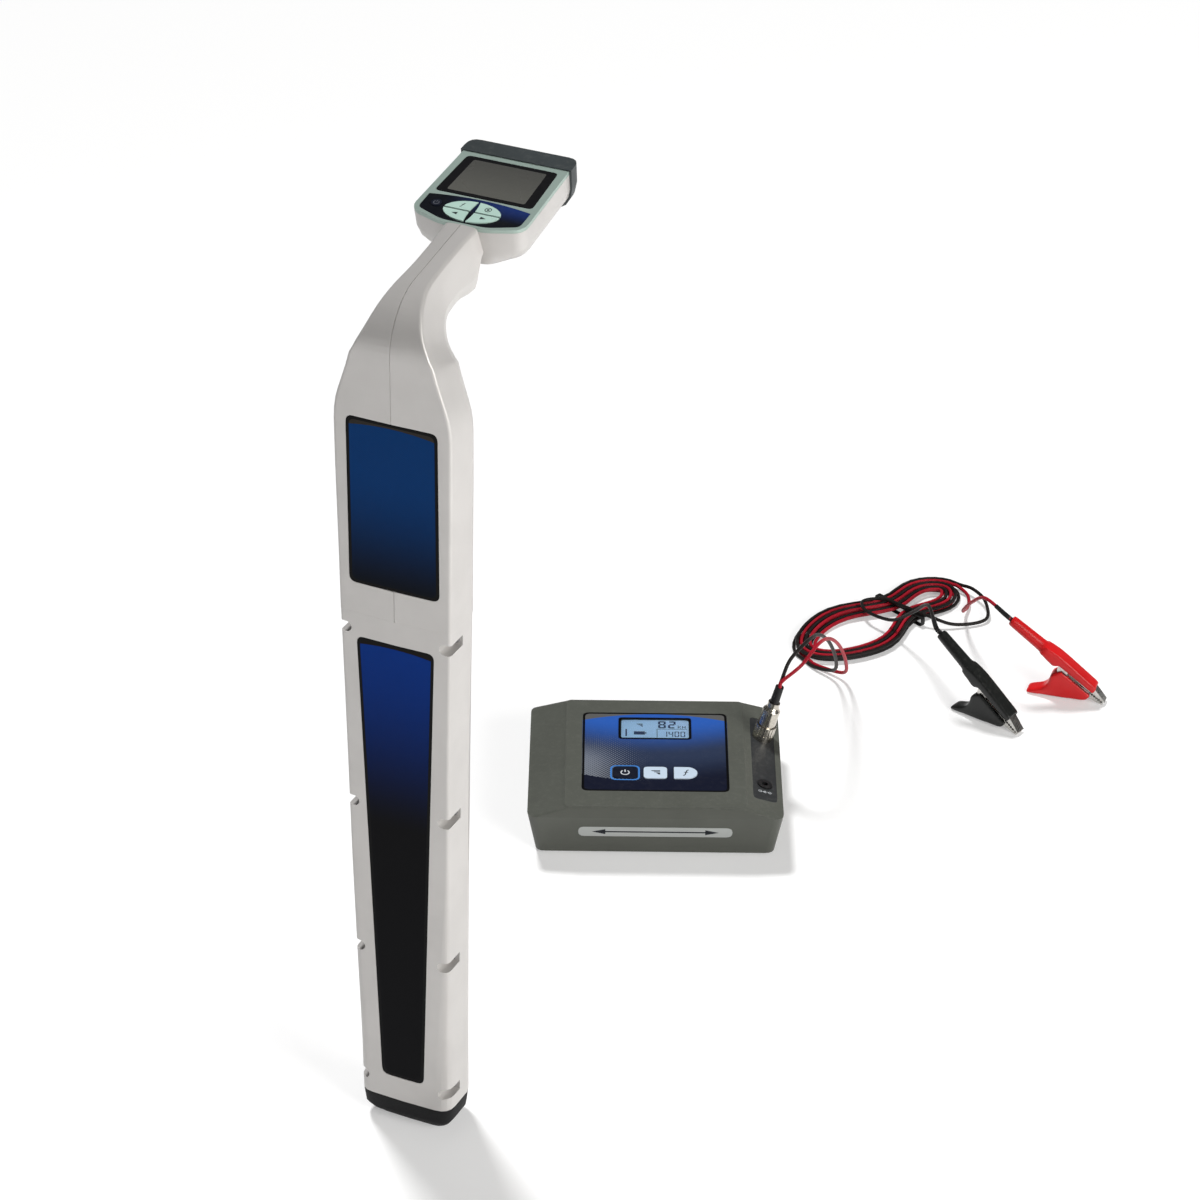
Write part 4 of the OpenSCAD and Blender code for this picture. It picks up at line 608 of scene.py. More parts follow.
def drawn_metal(name, colour, rough, stretch, depth=0.05):
    """Plated metal with a drawn grain along one axis and darker handling marks."""
    made, tree, shader = new_finish(name)
    drawn = add(tree, "ShaderNodeMapping", {"Vector": object_spot(tree), "Scale": stretch}).outputs[0]
    lines = noise(tree, drawn, **DRAWN_DETAIL)
    marks = use(tree, moulded_grain, size=MARK_GRAIN * MM)["Height"]
    # Brighter edges: partly wear, partly a painted highlight along the edges.
    edge = use(tree, worn_and_highlit_edges, **METAL_EDGE)["Mask"]
    tone = blend(tree, remap(tree, marks, MARK_SPAN), *(rgba(colour, gain) for gain in MARK_TONES))
    fill(tree, shader, {
        "Base Color": blend(tree, edge, tone, rgba(colour, METAL_EDGE_TONE)),
        "Roughness": remap(tree, lines, DRAWN_SPAN, *(rough + change for change in DRAWN_GLOSS)),
        "Normal": relief(tree, lines, depth, DRAWN_RISE),
        "Metallic": 1,
    })
    return made


print("recipes ready")

# %% [markdown]
# Each row below is one finish of the set: satin silver shells, one of them tinted green as a painted
# reflection, matt rubber, film and key plastics, vinyl wire and boots, and printing inks. Typing them
# as rows of one table keeps them easy to compare. Grain is the size of the texture, and depth, wear
# (with its painted edge highlight), dust and drift run from 0 to 1.

# %% Finishes for plastic, rubber, ink and metal
# Columns: colour, roughness, grain, depth, wear and painted edge highlight, dust, drift, and what only some
# finishes have
MOULDED = {
    "silver_shell": ((0.585, 0.568, 0.553), 0.4, 0.5, 0.04, 0.12, 0.04, 0.03, dict(metal=0.3)),
    # The head frame wears the silver shell's finish tinted green, a painted reflection of a greenish
    # surround.
    "head_shell_green_reflection": ((0.375, 0.475, 0.432), 0.4, 0.5, 0.04, 0.12, 0.04, 0.03, dict(metal=0.3)),
    "foot_rubber": ((0.011, 0.011, 0.012), 0.7, 0.9, 0.3, 0.5, 0.1, 0.15, dict(specular=0.2)),
    "slate_bumper": ((0.045, 0.053, 0.056), 0.5, 0.7, 0.15, 0.35, 0.06, 0.08, dict(specular=0.35)),
    "window_black": ((0.006, 0.006, 0.007), 0.14, 4, 0, 0, 0.01, 0.1, dict(specular=0.3)),
    "key_mint": ((0.44, 0.62, 0.55), 0.45, 0.6, 0.08, 0.1, 0.03, 0.03, {}),
    "key_navy": ((0.006, 0.008, 0.018), 0.38, 0.6, 0.08, 0.3, 0.02, 0.08, dict(specular=0.3)),
    "key_pale": ((0.55, 0.66, 0.78), 0.42, 0.6, 0.06, 0.1, 0.03, 0.03, {}),
    "board_green": ((0.015, 0.11, 0.04), 0.4, 1.2, 0.1, 0, 0, 0.2, dict(coat=0.3)),
    "black_plastic": ((0.013, 0.013, 0.014), 0.45, 0.6, 0.12, 0.3, 0.04, 0.1, dict(specular=0.3)),
    "label_rim": ((0.003, 0.003, 0.0032), 0.35, 2, 0.04, 0.04, 0.005, 0.05, dict(specular=0.08, pale=1.2)),
    "cell_sleeve": ((0.45, 0.3, 0.06), 0.3, 3, 0.02, 0.1, 0, 0.1, dict(coat=0.4)),
    "olive_cover": ((0.088, 0.093, 0.08), 0.5, 0.7, 0.22, 0.4, 0.05, 0.05, dict(specular=0.4)),
    "dark_plate": ((0.03, 0.032, 0.034), 0.48, 0.6, 0.12, 0.3, 0.05, 0.06, dict(specular=0.3)),
    "pack_wrap": ((0.06, 0.14, 0.3), 0.28, 4, 0.05, 0.1, 0, 0.08, dict(coat=0.3)),
    "arrow_film": ((0.42, 0.44, 0.43), 0.4, 1.2, 0.04, 0.1, 0.03, 0.04, {}),
    "sleeve_black": ((0.013, 0.013, 0.014), 0.5, 0.8, 0.2, 0.1, 0.04, 0.1, dict(specular=0.3)),
    "lead_black": ((0.016, 0.014, 0.0135), 0.5, 1.6, 0.1, 0, 0.02, 0.25, dict(specular=0.2)),
    "lead_red": ((0.36, 0.011, 0.024), 0.48, 1.6, 0.1, 0, 0.02, 0.2, dict(specular=0.2)),
    "tie_black": ((0.013, 0.013, 0.013), 0.5, 0.8, 0.1, 0.1, 0.04, 0.1, dict(specular=0.3)),
    "boot_black": ((0.01, 0.011, 0.0105), 0.34, 1.2, 0.12, 0.1, 0.04, 0.12, dict(specular=0.35)),
    "boot_red": ((0.62, 0.01, 0.012), 0.34, 1.2, 0.1, 0.05, 0.02, 0.1, dict(specular=0.4, pale=1.3)),
    "ink_dark": ((0.014, 0.017, 0.022), 0.5, 1, 0, 0, 0, 0.1, dict(specular=0.25)),
    "ink_pale": ((0.6, 0.63, 0.66), 0.45, 1, 0, 0, 0, 0.05, {}),
    "ink_grey": ((0.12, 0.13, 0.15), 0.45, 1, 0, 0, 0, 0.05, dict(specular=0.3)),
    "ink_blue": ((0.05, 0.2, 0.55), 0.4, 1, 0, 0, 0, 0.06, dict(specular=0.3)),
    "ink_screen": ((0.008, 0.03, 0.12), 0.5, 1, 0, 0, 0, 0.08, dict(specular=0.2)),
}
METALS = {
    "nickel": dict(colour=(0.66, 0.62, 0.55), rough=0.22, stretch=(1, 1, 0.05)),
    "screw_steel": dict(colour=(0.5, 0.5, 0.52), rough=0.32, stretch=(1, 0.1, 1)),
    "jaw_steel": dict(colour=(0.62, 0.61, 0.58), rough=0.3, stretch=(1, 0.1, 0.1)),
    "coil_wire": dict(colour=(0.4, 0.17, 0.07), rough=0.4, stretch=(1, 0.02, 0.02), depth=0.3),
}
finish = {name: moulded(name, *look, **more) for name, (*look, more) in MOULDED.items()}
finish.update({name: drawn_metal(name, **look) for name, look in METALS.items()})
print(len(finish), "plain finishes")

# %% [markdown]
# The printed films carry pictures. A picture is worked out from the place on the film, in the axes of
# the piece that carries it, so it needs no image and no unwrapping. Each film is the picture under a
# thin satin gloss. The fade helper takes its span in millimetres along an axis.

# %% Axes and film recipe
FILM_GRAIN = 1.5
FILM_DUST = 0.015
FILM_GLOSS = (-0.05, 0.06)
FILM_DEPTH = 0.01
HEAD_AT = (0, 88.6391, 742.138)
HEAD_SLOPE = 10


def place(x, y, z, *turns):
    """A matrix from a place in millimetres and (degrees, axis) turns."""
    made = Matrix.Translation(Vector((x, y, z)) * MM)
    for degrees, axis in turns:
        made = made @ Matrix.Rotation(math.radians(degrees), 4, axis)
    return made


WAND = Matrix.Identity(4)
HEAD = place(*HEAD_AT, (HEAD_SLOPE, "X"))
BOX = place(*BOX_AT, (BOX_TURN, "Z"))


def local_axes(tree, matrix):
    """Sockets for the place in a piece's own axes, in metres."""
    back = matrix.inverted()
    inputs = {"Vector": object_spot(tree), "Rotation": back.to_euler(), "Location": back.to_translation()}
    moved = add(tree, "ShaderNodeMapping", inputs).outputs[0]
    return add(tree, "ShaderNodeSeparateXYZ", {0: moved}).outputs


def faded(tree, along, span):
    """A printed fade over a span in millimetres."""
    low, high = span
    return use(tree, printed_fade, along=along, low=low * MM, high=high * MM)["Fade"]


def bowed(tree, across, bow):
    """A sag that grows with the square of the distance from the middle."""
    return calc(tree, "MULTIPLY", calc(tree, "MULTIPLY", across, across), bow)


def film(name, picture, rough=0.34, specular=0.12):
    """Printed film whose colour comes from a picture function."""
    made, tree, shader = new_finish(name)
    surface = use(tree, moulded_grain, size=FILM_GRAIN * MM)
    dusty = use(tree, settled_dust, amount=FILM_DUST)["Mask"]
    fill(tree, shader, {
        "Base Color": blend(tree, dusty, picture(tree), DUST),
        "Roughness": remap(tree, surface["Tone"], TONE_SPAN, *(rough + change for change in FILM_GLOSS)),
        "Normal": relief(tree, surface["Height"], FILM_DEPTH, GRAIN_RISE),
        "Specular IOR Level": specular,
    })
    return made


print("film axes ready")

# %% [markdown]
# The wand's two labels fade from blue at the top to nearly black, with fine dark dots in the blue
# and a dark crest whose lower edge is a shallow arch. The arch comes from a sag that is added to the
# height, so one comparison draws a curved edge.

# %% Label films
LABEL_BOW = 2.4
LABEL_SPECULAR = 0.06
CREST_DROP = 4.2
CREST_EDGE = 0.3
LABEL_DOT_PITCH = 1.6
LABEL_DOT_SHARE = 0.3
LABEL_DOT_INK = 0.35
LABEL_DOT_COLOUR = (0.002, 0.012, 0.06, 1)
upper_low, upper_high = box_mm("rx_upper_label")
lower_low, lower_high = box_mm("rx_lower_label")
LABELS = {
    "upper_print": dict(top=upper_high.z, span=(486, 590), blue=(0.001, 0.041, 0.17, 1),
                        foot=(0.001, 0.002, 0.004, 1), crest=(0.032, 0.028, 0.024, 1)),
    "lower_print": dict(top=lower_high.z, span=(280, 455), blue=(0.001, 0.036, 0.25, 1),
                        foot=(0.001, 0.001, 0.002, 1), crest=(0.008, 0.006, 0.005, 1)),
}


def label_picture(top, span, blue, foot, crest):
    """A fade from blue to a dark foot, with dots, under a dark crest with an arched edge."""
    def picture(tree):
        spot = local_axes(tree, WAND)
        fade = faded(tree, spot["Z"], span)
        dots = use(tree, dot_screen, across=spot["X"], along=spot["Z"], pitch=LABEL_DOT_PITCH * MM,
                   size=LABEL_DOT_SHARE)["Dots"]
        inked = calc(tree, "MULTIPLY", dots, calc(tree, "MULTIPLY", fade, LABEL_DOT_INK))
        dotted = blend(tree, inked, blend(tree, fade, foot, blue), LABEL_DOT_COLOUR)
        arched = calc(tree, "ADD", spot["Z"], bowed(tree, spot["X"], LABEL_BOW))
        above_arch = faded(tree, arched, (top - CREST_DROP, top - CREST_DROP + CREST_EDGE))
        return blend(tree, above_arch, dotted, crest)
    return picture


for name, look in LABELS.items():
    finish[name] = film(name, label_picture(**look), specular=LABEL_SPECULAR)
print("label films:", list(LABELS))

# %% [markdown]
# The transmitter's panel is brightest under a curved upper edge, darkens in two steps towards a
# curved lower edge, and has a halftone that thins out to the right. The head's keypad film is black
# with a blue glow on one side, and its screen is an unlit grey with a painted shade towards its far end.

# %% Panel, keypad and screen films
PANEL_BOW = 2.6
PANEL_BLUE_SPAN = (-4, 52)
PANEL_FOOT_SPAN = (-50, -4)
PANEL_CREST_SPAN = (65.5, 66.2)
PANEL_BLUE = (0.024, 0.1, 0.42, 1)
PANEL_DUSK = (0.024, 0.036, 0.075, 1)
PANEL_FOOT = (0.007, 0.009, 0.022, 1)
PANEL_CREST = (0.1, 0.1, 0.1, 1)
HALFTONE_LEFT_SPAN = (-10, 75)
HALFTONE_EDGE_SPAN = (-49, -47)
HALFTONE_DOWN_SPAN = (-45, 20)
HALFTONE_PITCH = 3.4
HALFTONE_SHARE = 0.62
HALFTONE_INK = 0.5
HALFTONE_COLOUR = (0.3, 0.33, 0.38, 1)
KEYPAD_UP_SPAN = (12, 34)
KEYPAD_SIDE_SPAN = (-30, 30)
KEYPAD_BLACK = (0.006, 0.007, 0.01, 1)
KEYPAD_BLUE = (0.012, 0.03, 0.14, 1)
SCREEN_SPAN = (36, 86)
SCREEN_NEAR = (0.1, 0.1, 0.09, 1)
# Darker grey at the screen's far end: painted shade.
SCREEN_FAR_SHADE = (0.07, 0.07, 0.065, 1)
SCREEN_ROUGHNESS = 0.25


def panel_picture(tree):
    """Two-step fade between curved edges, with a halftone at the lower left."""
    spot = local_axes(tree, BOX)
    bow = bowed(tree, spot["X"], PANEL_BOW)
    arched = calc(tree, "ADD", spot["Y"], bow)
    sagged = calc(tree, "SUBTRACT", spot["Y"], bow)
    leftwards = calc(tree, "MULTIPLY", spot["X"], -1)
    downwards = calc(tree, "MULTIPLY", spot["Y"], -1)
    shade = blend(tree, faded(tree, sagged, PANEL_BLUE_SPAN), PANEL_DUSK, PANEL_BLUE)
    shade = blend(tree, faded(tree, sagged, PANEL_FOOT_SPAN), PANEL_FOOT, shade)
    shade = blend(tree, faded(tree, arched, PANEL_CREST_SPAN), shade, PANEL_CREST)
    belt = calc(tree, "MULTIPLY", faded(tree, sagged, HALFTONE_EDGE_SPAN),
                faded(tree, downwards, HALFTONE_DOWN_SPAN))
    weight = calc(tree, "MULTIPLY", faded(tree, leftwards, HALFTONE_LEFT_SPAN), belt)
    dots = use(tree, dot_screen, across=spot["X"], along=spot["Y"], pitch=HALFTONE_PITCH * MM,
               size=calc(tree, "MULTIPLY", weight, HALFTONE_SHARE))["Dots"]
    return blend(tree, calc(tree, "MULTIPLY", dots, HALFTONE_INK), shade, HALFTONE_COLOUR)


def keypad_picture(tree):
    """Black film with a blue glow towards its upper right."""
    spot = local_axes(tree, HEAD)
    upwards = faded(tree, spot["Y"], KEYPAD_UP_SPAN)
    sideways = faded(tree, spot["X"], KEYPAD_SIDE_SPAN)
    return blend(tree, calc(tree, "MULTIPLY", upwards, sideways), KEYPAD_BLACK, KEYPAD_BLUE)


def screen_picture(tree):
    """Grey that darkens a little towards the far end, as a painted shade."""
    spot = local_axes(tree, HEAD)
    return blend(tree, faded(tree, spot["Y"], SCREEN_SPAN), SCREEN_NEAR, SCREEN_FAR_SHADE)


finish["panel_film"] = film("panel_film", panel_picture)
finish["keypad_film"] = film("keypad_film", keypad_picture)
finish["screen_grey"] = film("screen_grey", screen_picture, SCREEN_ROUGHNESS)
print(len(finish), "finishes with the films")

# %% [markdown]
# The transmitter's screen is lit from behind, under a clear window. The window is clear plastic: full
# transmission with a faint smear in its roughness. The screen is a pale blue that also glows a little,
# so it stays readable in shade, as a lit liquid crystal does.

# %% Clear window and lit screen
WINDOW_TINT = (0.96, 0.98, 1, 1)
WINDOW_INDEX = 1.46
SMEAR_GRAIN = 6
SMEAR_GLOSS = (0.01, 0.05)
LIT_SPAN = (-40, 50)
LIT_LEFT = (0.32, 0.55, 0.8, 1)
LIT_RIGHT = (0.4, 0.62, 0.86, 1)
LIT_STRENGTH = 0.12
LIT_ROUGHNESS = 0.35

finish["clear_screen"], tree, shader = new_finish("clear_screen")
smear = use(tree, moulded_grain, size=SMEAR_GRAIN * MM)["Tone"]
fill(tree, shader, {
    "Base Color": WINDOW_TINT,
    "Transmission Weight": 1,
    "IOR": WINDOW_INDEX,
    "Roughness": remap(tree, smear, TONE_SPAN, *SMEAR_GLOSS),
})

finish["lit_screen"], tree, shader = new_finish("lit_screen")
tone = blend(tree, faded(tree, local_axes(tree, BOX)["X"], LIT_SPAN), LIT_LEFT, LIT_RIGHT)
fill(tree, shader, {
    "Base Color": tone,
    "Emission Color": tone,
    "Emission Strength": LIT_STRENGTH,
    "Roughness": LIT_ROUGHNESS,
})
print("window and lit screen ready")

# %% [markdown]
# The floor's white comes partly from a glow that only the camera, mirrors and glass see. More lamp
# light would also make it white, but would wash out the set. The shadow stays, because the glow is
# weaker than the lamps.

# %% Floor finish
FLOOR_COLOUR = (0.7, 0.7, 0.7, 1)
FLOOR_ROUGHNESS = 0.9
FLOOR_GLOW = 0.33
pale_floor, tree, shader = new_finish("pale_floor")
path = add(tree, "ShaderNodeLightPath").outputs
mirrored = calc(tree, "MAXIMUM", path["Is Glossy Ray"], path["Is Transmission Ray"])
seen = calc(tree, "MAXIMUM", path["Is Camera Ray"], mirrored)
fill(tree, shader, {
    "Base Color": FLOOR_COLOUR,
    "Roughness": FLOOR_ROUGHNESS,
    "Emission Color": WHITE,
    "Emission Strength": calc(tree, "MULTIPLY", seen, FLOOR_GLOW),
})
floor.data.materials.append(pale_floor)
print(len(finish), "finishes in all")

# %% [markdown]
# The solids keep their shapes, because those are right. Each one gets four modifiers that soften it:
# points on shared edges are welded, sharp edges get a small round, what is still sharp is marked by
# its angle, and the shading leans towards the large flat faces. The clips' vinyl boots are softer, so
# they are cut into even cells and smoothed instead.

# %% Softening
SHARP_ANGLE = math.radians(33)
WELD_REACH = 0.004
ROUND_SEGMENTS = 2
BOOT_CELL = 0.7
BOOT_PASSES = 90
BOOT_PULL = 0.5
BOOT_FACES_SHARE = 0.35

sharp_group = bpy.data.node_groups.new("mark_sharp_edges", "GeometryNodeTree")
for way in ("INPUT", "OUTPUT"):
    sharp_group.interface.new_socket("Geometry", in_out=way, socket_type="NodeSocketGeometry")
enter = sharp_group.nodes.new("NodeGroupInput").outputs[0]
leave = sharp_group.nodes.new("NodeGroupOutput").inputs[0]
bend_angle = sharp_group.nodes.new("GeometryNodeInputMeshEdgeAngle").outputs["Unsigned Angle"]
is_sharp = add(sharp_group, "FunctionNodeCompare", {0: bend_angle, 1: SHARP_ANGLE}, operation="GREATER_THAN")
all_smooth = add(sharp_group, "GeometryNodeSetShadeSmooth", {"Geometry": enter}, domain="FACE")
sharp_inputs = {"Geometry": all_smooth.outputs[0], "Selection": is_sharp.outputs[0], "Shade Smooth": False}
marked = add(sharp_group, "GeometryNodeSetShadeSmooth", sharp_inputs, domain="EDGE")
sharp_group.links.new(marked.outputs[0], leave)


def soften(thing, width):
    """Welded points, a small round on sharp edges, and clean shading."""
    if "custom_normal" in thing.data.attributes:
        thing.data.attributes.remove(thing.data.attributes["custom_normal"])
    weld = thing.modifiers.new("weld", "WELD")
    weld.merge_threshold = WELD_REACH * MM
    if width:
        rounding = thing.modifiers.new("edge_round", "BEVEL")
        rounding.width = width * MM
        rounding.segments = ROUND_SEGMENTS
        rounding.limit_method = "ANGLE"
        rounding.angle_limit = SHARP_ANGLE
        rounding.use_clamp_overlap = True
    shade = thing.modifiers.new("sharp_edges", "NODES")
    shade.node_group = sharp_group
    weigh = thing.modifiers.new("flat_faces", "WEIGHTED_NORMAL")
    weigh.keep_sharp = True


def melt(thing):
    """Round all edges of a dipped vinyl boot: even cells, smoothed, then fewer faces."""
    even = thing.modifiers.new("even_cells", "REMESH")
    even.mode = "VOXEL"
    even.voxel_size = BOOT_CELL * MM
    even.use_smooth_shade = True
    soft = thing.modifiers.new("soft_edges", "SMOOTH")
    soft.factor = BOOT_PULL
    soft.iterations = BOOT_PASSES
    fewer = thing.modifiers.new("fewer_faces", "DECIMATE")
    fewer.ratio = BOOT_FACES_SHARE


print("edges sharper than", round(math.degrees(SHARP_ANGLE)), "degrees get a round")

# %% [markdown]
# One table says which finish each solid wears and how wide the round on its edges is. Dressing them
# one by one would take a line each, and a table shows at a glance what is made of the same stuff.

# %% Dress the solids
DRESS = {
    "silver_shell": (0.4, "rx_lower_front_shell rx_lower_rear_shell rx_upper_front_shell"
                     " rx_upper_rear_shell rx_battery_door rx_head_tub"),
    # The head frame's green tint is a painted reflection.
    "head_shell_green_reflection": (0.5, "rx_head_frame"),
    "foot_rubber": (0.3, "rx_foot_boot tx_feet"),
    "slate_bumper": (0.8, "rx_end_bumper"),
    "window_black": (0.2, "rx_display_window"),
    "keypad_film": (0.1, "rx_keypad_overlay"),
    "key_mint": (0.3, "rx_key_mode rx_key_frequency rx_key_left rx_key_right"),
    "key_navy": (0.3, "rx_key_power tx_key_power"),
    "board_green": (0, "rx_main_board rx_antenna_board tx_circuit_board"),
    "black_plastic": (0.3, "rx_sounder rx_battery_tray tx_power_jack"),
    "label_rim": (0.15, "rx_upper_label rx_lower_label"),
    "cell_sleeve": (0.3, "rx_battery_cells"),
    "coil_wire": (0.2, "rx_antenna_coils tx_induction_coil"),
    "screw_steel": (0.2, "rx_case_screws tx_base_screws"),
    "olive_cover": (0.6, "tx_cover tx_base_plate"),
    "dark_plate": (0.15, "tx_connector_plate"),
    "panel_film": (0.1, "tx_panel_overlay"),
    "clear_screen": (0.15, "tx_display_window"),
    "lit_screen": (0, "tx_display_panel"),
    "screen_grey": (0, "rx_display_panel"),
    "key_pale": (0.4, "tx_key_signal tx_key_frequency"),
    "nickel": (0.2, "tx_output_socket plug_barrel plug_coupling_ring"),
    "pack_wrap": (0.5, "tx_battery_pack"),
    "arrow_film": (0.1, "tx_arrow_label"),
    "sleeve_black": (0.3, "lead_sleeve"),
    "tie_black": (0.15, "lead_tie"),
    "jaw_steel": (0.2, "black_clip_fixed_jaw black_clip_moving_jaw red_clip_fixed_jaw red_clip_moving_jaw"),
}


def dress(thing, material):
    """Give a piece one finish."""
    thing.data.materials.clear()
    thing.data.materials.append(finish[material])


for material, (width, names) in DRESS.items():
    for name in names.split():
        dress(nodes[name], material)
        soften(nodes[name], width)
for colour in wires:
    for boot in ("fixed_boot", "moving_boot"):
        dress(nodes[f"{colour}_clip_{boot}"], f"boot_{colour}")
        melt(nodes[f"{colour}_clip_{boot}"])
    for piece in (wires[colour], nodes[f"{colour}_lead_runs"], nodes[f"{colour}_lead_hank"]):
        dress(piece, f"lead_{colour}")
    dress(shrinks[colour], "sleeve_black")
print("dressed", sum(bool(node.data.materials) for node in nodes.values()), "solids")

# %% [markdown]
# Signs and prints are thin plates of ink laid on the face that carries them. Each is drawn flat, in
# millimetres, as a few outlines, then given a hair of thickness and put in the axes of its face. Text
# objects could draw digits, but plain outlines need no font and export as clean meshes.

# %% Drawing helpers
INK_THICKNESS = 0.03
CORNER_STEPS = 5
ARC_STEPS = 24


def ink_plate(name, outlines, matrix, lift, material, body, holes=()):
    """Flat outlines as one thin plate; with holes, each outline is a ring round its hole."""
    mesh = bmesh.new()

    def level(outline, height):
        return [mesh.verts.new(matrix @ (Vector((x, y, height)) * MM)) for x, y in outline]

    for index, outline in enumerate(outlines):
        low = level(outline, lift)
        high = level(outline, lift + INK_THICKNESS)
        strips = [(low, high)]
        if holes:
            inner_low = level(holes[index], lift)
            inner_high = level(holes[index], lift + INK_THICKNESS)
            strips += [(high, inner_high), (inner_high, inner_low), (inner_low, low)]
        else:
            mesh.faces.new(high)
            mesh.faces.new(low[::-1])
        for first, second in strips:
            for i in range(len(outline)):
                j = (i + 1) % len(outline)
                mesh.faces.new((first[i], first[j], second[j], second[i]))
    plate = from_bmesh(name, mesh)
    dress(plate, material)
    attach(plate, body)


def rounded(points, radius):
    """A closed outline with every corner rounded."""
    made = []
    for i, point in enumerate(points):
        before, here, after = Vector(points[i - 1]), Vector(point), Vector(points[(i + 1) % len(points)])
        start = here + (before - here).normalized() * radius
        stop = here + (after - here).normalized() * radius
        for k in range(CORNER_STEPS + 1):
            t = k / CORNER_STEPS
            made.append(start * (1 - t) ** 2 + here * 2 * t * (1 - t) + stop * t ** 2)
    return [(p.x, p.y) for p in made]


def slab(x, y, width, height, radius=0):
    """A rectangle about its middle, with round corners if it has a radius."""
    corners = [(x + sx * width / 2, y + sy * height / 2) for sx, sy in corner_signs]
    return rounded(corners, radius) if radius else corners


def arc(x, y, radius, start, stop):
    """Points along an arc, with its ends in degrees."""
    turns = [math.radians(start + (stop - start) * k / ARC_STEPS) for k in range(ARC_STEPS + 1)]
    return [(x + radius * math.cos(a), y + radius * math.sin(a)) for a in turns]


def stroke(points, width):
    """The outline of a line of even width through points."""
    left_side, right_side = [], []
    points = [Vector(p) for p in points]
    for i, here in enumerate(points):
        way = (points[min(i + 1, len(points) - 1)] - points[max(i - 1, 0)]).normalized()
        side = Vector((-way.y, way.x)) * width / 2
        left_side.append(here + side)
        right_side.append(here - side)
    return [(p.x, p.y) for p in right_side + left_side[::-1]]


def scaled(points, x, y, size):
    """Points of a sign of size 1, made larger and moved."""
    return [(x + size * px, y + size * py) for px, py in points]


print("ink is", INK_THICKNESS, "mm thick")

# %% [markdown]
# Three signs come back on several keys: the broken ring with a bar for power, a slanted f for
# frequency and three falling bars for the signal. The screen's numbers are made of seven bars each,
# as on any such display. Each is drawn once for a size of 1 and scaled where it is used.

# %% Signs and digits
POWER_RING = (125, 415)
POWER_WIDTH_SHARE = 0.3
POWER_BAR_SHARES = (0.75, 1.1)
F_STEM = ((-0.55, -1), (-0.25, -0.95), (-0.05, -0.5), (0.08, 0.3), (0.28, 0.85), (0.6, 0.95))
F_BAR = ((-0.35, 0.15), (0.5, 0.15))
F_WIDTH_SHARES = (0.22, 0.18)
SIGNAL_BARS = (
    ((-1, 0.8), (1, 0.8), (1, 0.5), (-0.7, 0.5)),
    ((-0.45, 0.32), (1, 0.32), (1, 0.04), (-0.15, 0.04)),
    ((0.1, -0.14), (1, -0.14), (1, -0.8), (0.75, -0.8)),
)
SEGMENTS = {"0": "abcdef", "1": "bc", "2": "abged", "4": "fgbc", "8": "abcdefg"}
LEVEL_TRIM = 1.3
UPRIGHT_TRIM = 0.7
UPPER_SHARE = 0.75
LOWER_SHARE = 0.25


def power_sign(x, y, size):
    """A ring that is open at the top, with a bar in the gap."""
    width = size * POWER_WIDTH_SHARE
    rise, height = (size * share for share in POWER_BAR_SHARES)
    return [stroke(arc(x, y, size, *POWER_RING), width), slab(x, y + rise, width, height)]


def f_sign(x, y, size):
    """A slanted f."""
    lines = zip((F_STEM, F_BAR), F_WIDTH_SHARES)
    return [stroke(scaled(points, x, y, size), size * share) for points, share in lines]


def signal_sign(x, y, size):
    """Three bars, the longest at the top."""
    return [scaled(bar, x, y, size) for bar in SIGNAL_BARS]


def arrow_tip(side, tip_x, base_x, half, y=0):
    """A triangle that points left for side -1 and right for side 1."""
    return [(side * tip_x, y), (side * base_x, y + side * half), (side * base_x, y - side * half)]


def digit(mark, x, y, width, height, thick):
    """Segments of one digit, with x and y at its lower left."""
    level = {"a": height - thick / 2, "g": height / 2, "d": thick / 2}
    made = []
    for name in SEGMENTS[mark]:
        if name in level:
            made.append(slab(x + width / 2, y + level[name], width - LEVEL_TRIM * thick, thick))
        else:
            side = x + (width - thick / 2 if name in "bc" else thick / 2)
            middle = y + height * (UPPER_SHARE if name in "bf" else LOWER_SHARE)
            made.append(slab(side, middle, thick, height / 2 - UPRIGHT_TRIM * thick))
    return made


print("signs for power, frequency and signal, and digits", "".join(SEGMENTS))

# %% [markdown]
# The wand's labels are black plates with a printed field set in from the rim. The plates' faces and
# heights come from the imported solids, so the fields follow them. The fields stay plain, with their
# fade, dots and crest.

# %% Label prints
PRINT_INSET = 2.6
PRINT_RADIUS = 5
LOWER_FOOT_HALF = 18.5
LOWER_TOP_HALF = 32.5
label_face = place(0, upper_low.y, 0, (90, "X"))


def print_field(name, material, foot_half, top_half, low, high):
    """A tapered field inside a label's rim, between two heights."""
    foot_x, top_x = foot_half - PRINT_INSET, top_half - PRINT_INSET
    foot_z, top_z = low + PRINT_INSET, high - PRINT_INSET
    field = rounded([(-foot_x, foot_z), (foot_x, foot_z), (top_x, top_z), (-top_x, top_z)], PRINT_RADIUS)
    ink_plate(name, [field], label_face, 0, material, ROOT)


print_field("upper_label_print", "upper_print", upper_high.x, upper_high.x, upper_low.z, upper_high.z)
print_field("lower_label_print", "lower_print", LOWER_FOOT_HALF, LOWER_TOP_HALF, lower_low.z, lower_high.z)
print("label fields from", round(lower_low.z), "to", round(upper_high.z))

# %% [markdown]
# On the head, a grey field lies on the window where the display shows, and each key has its sign:
# power, frequency, mode, left and right. The signs ride with their keys, so they sink when a key is
# pressed. Mode is a ring round a dot, and the arrows are triangles.

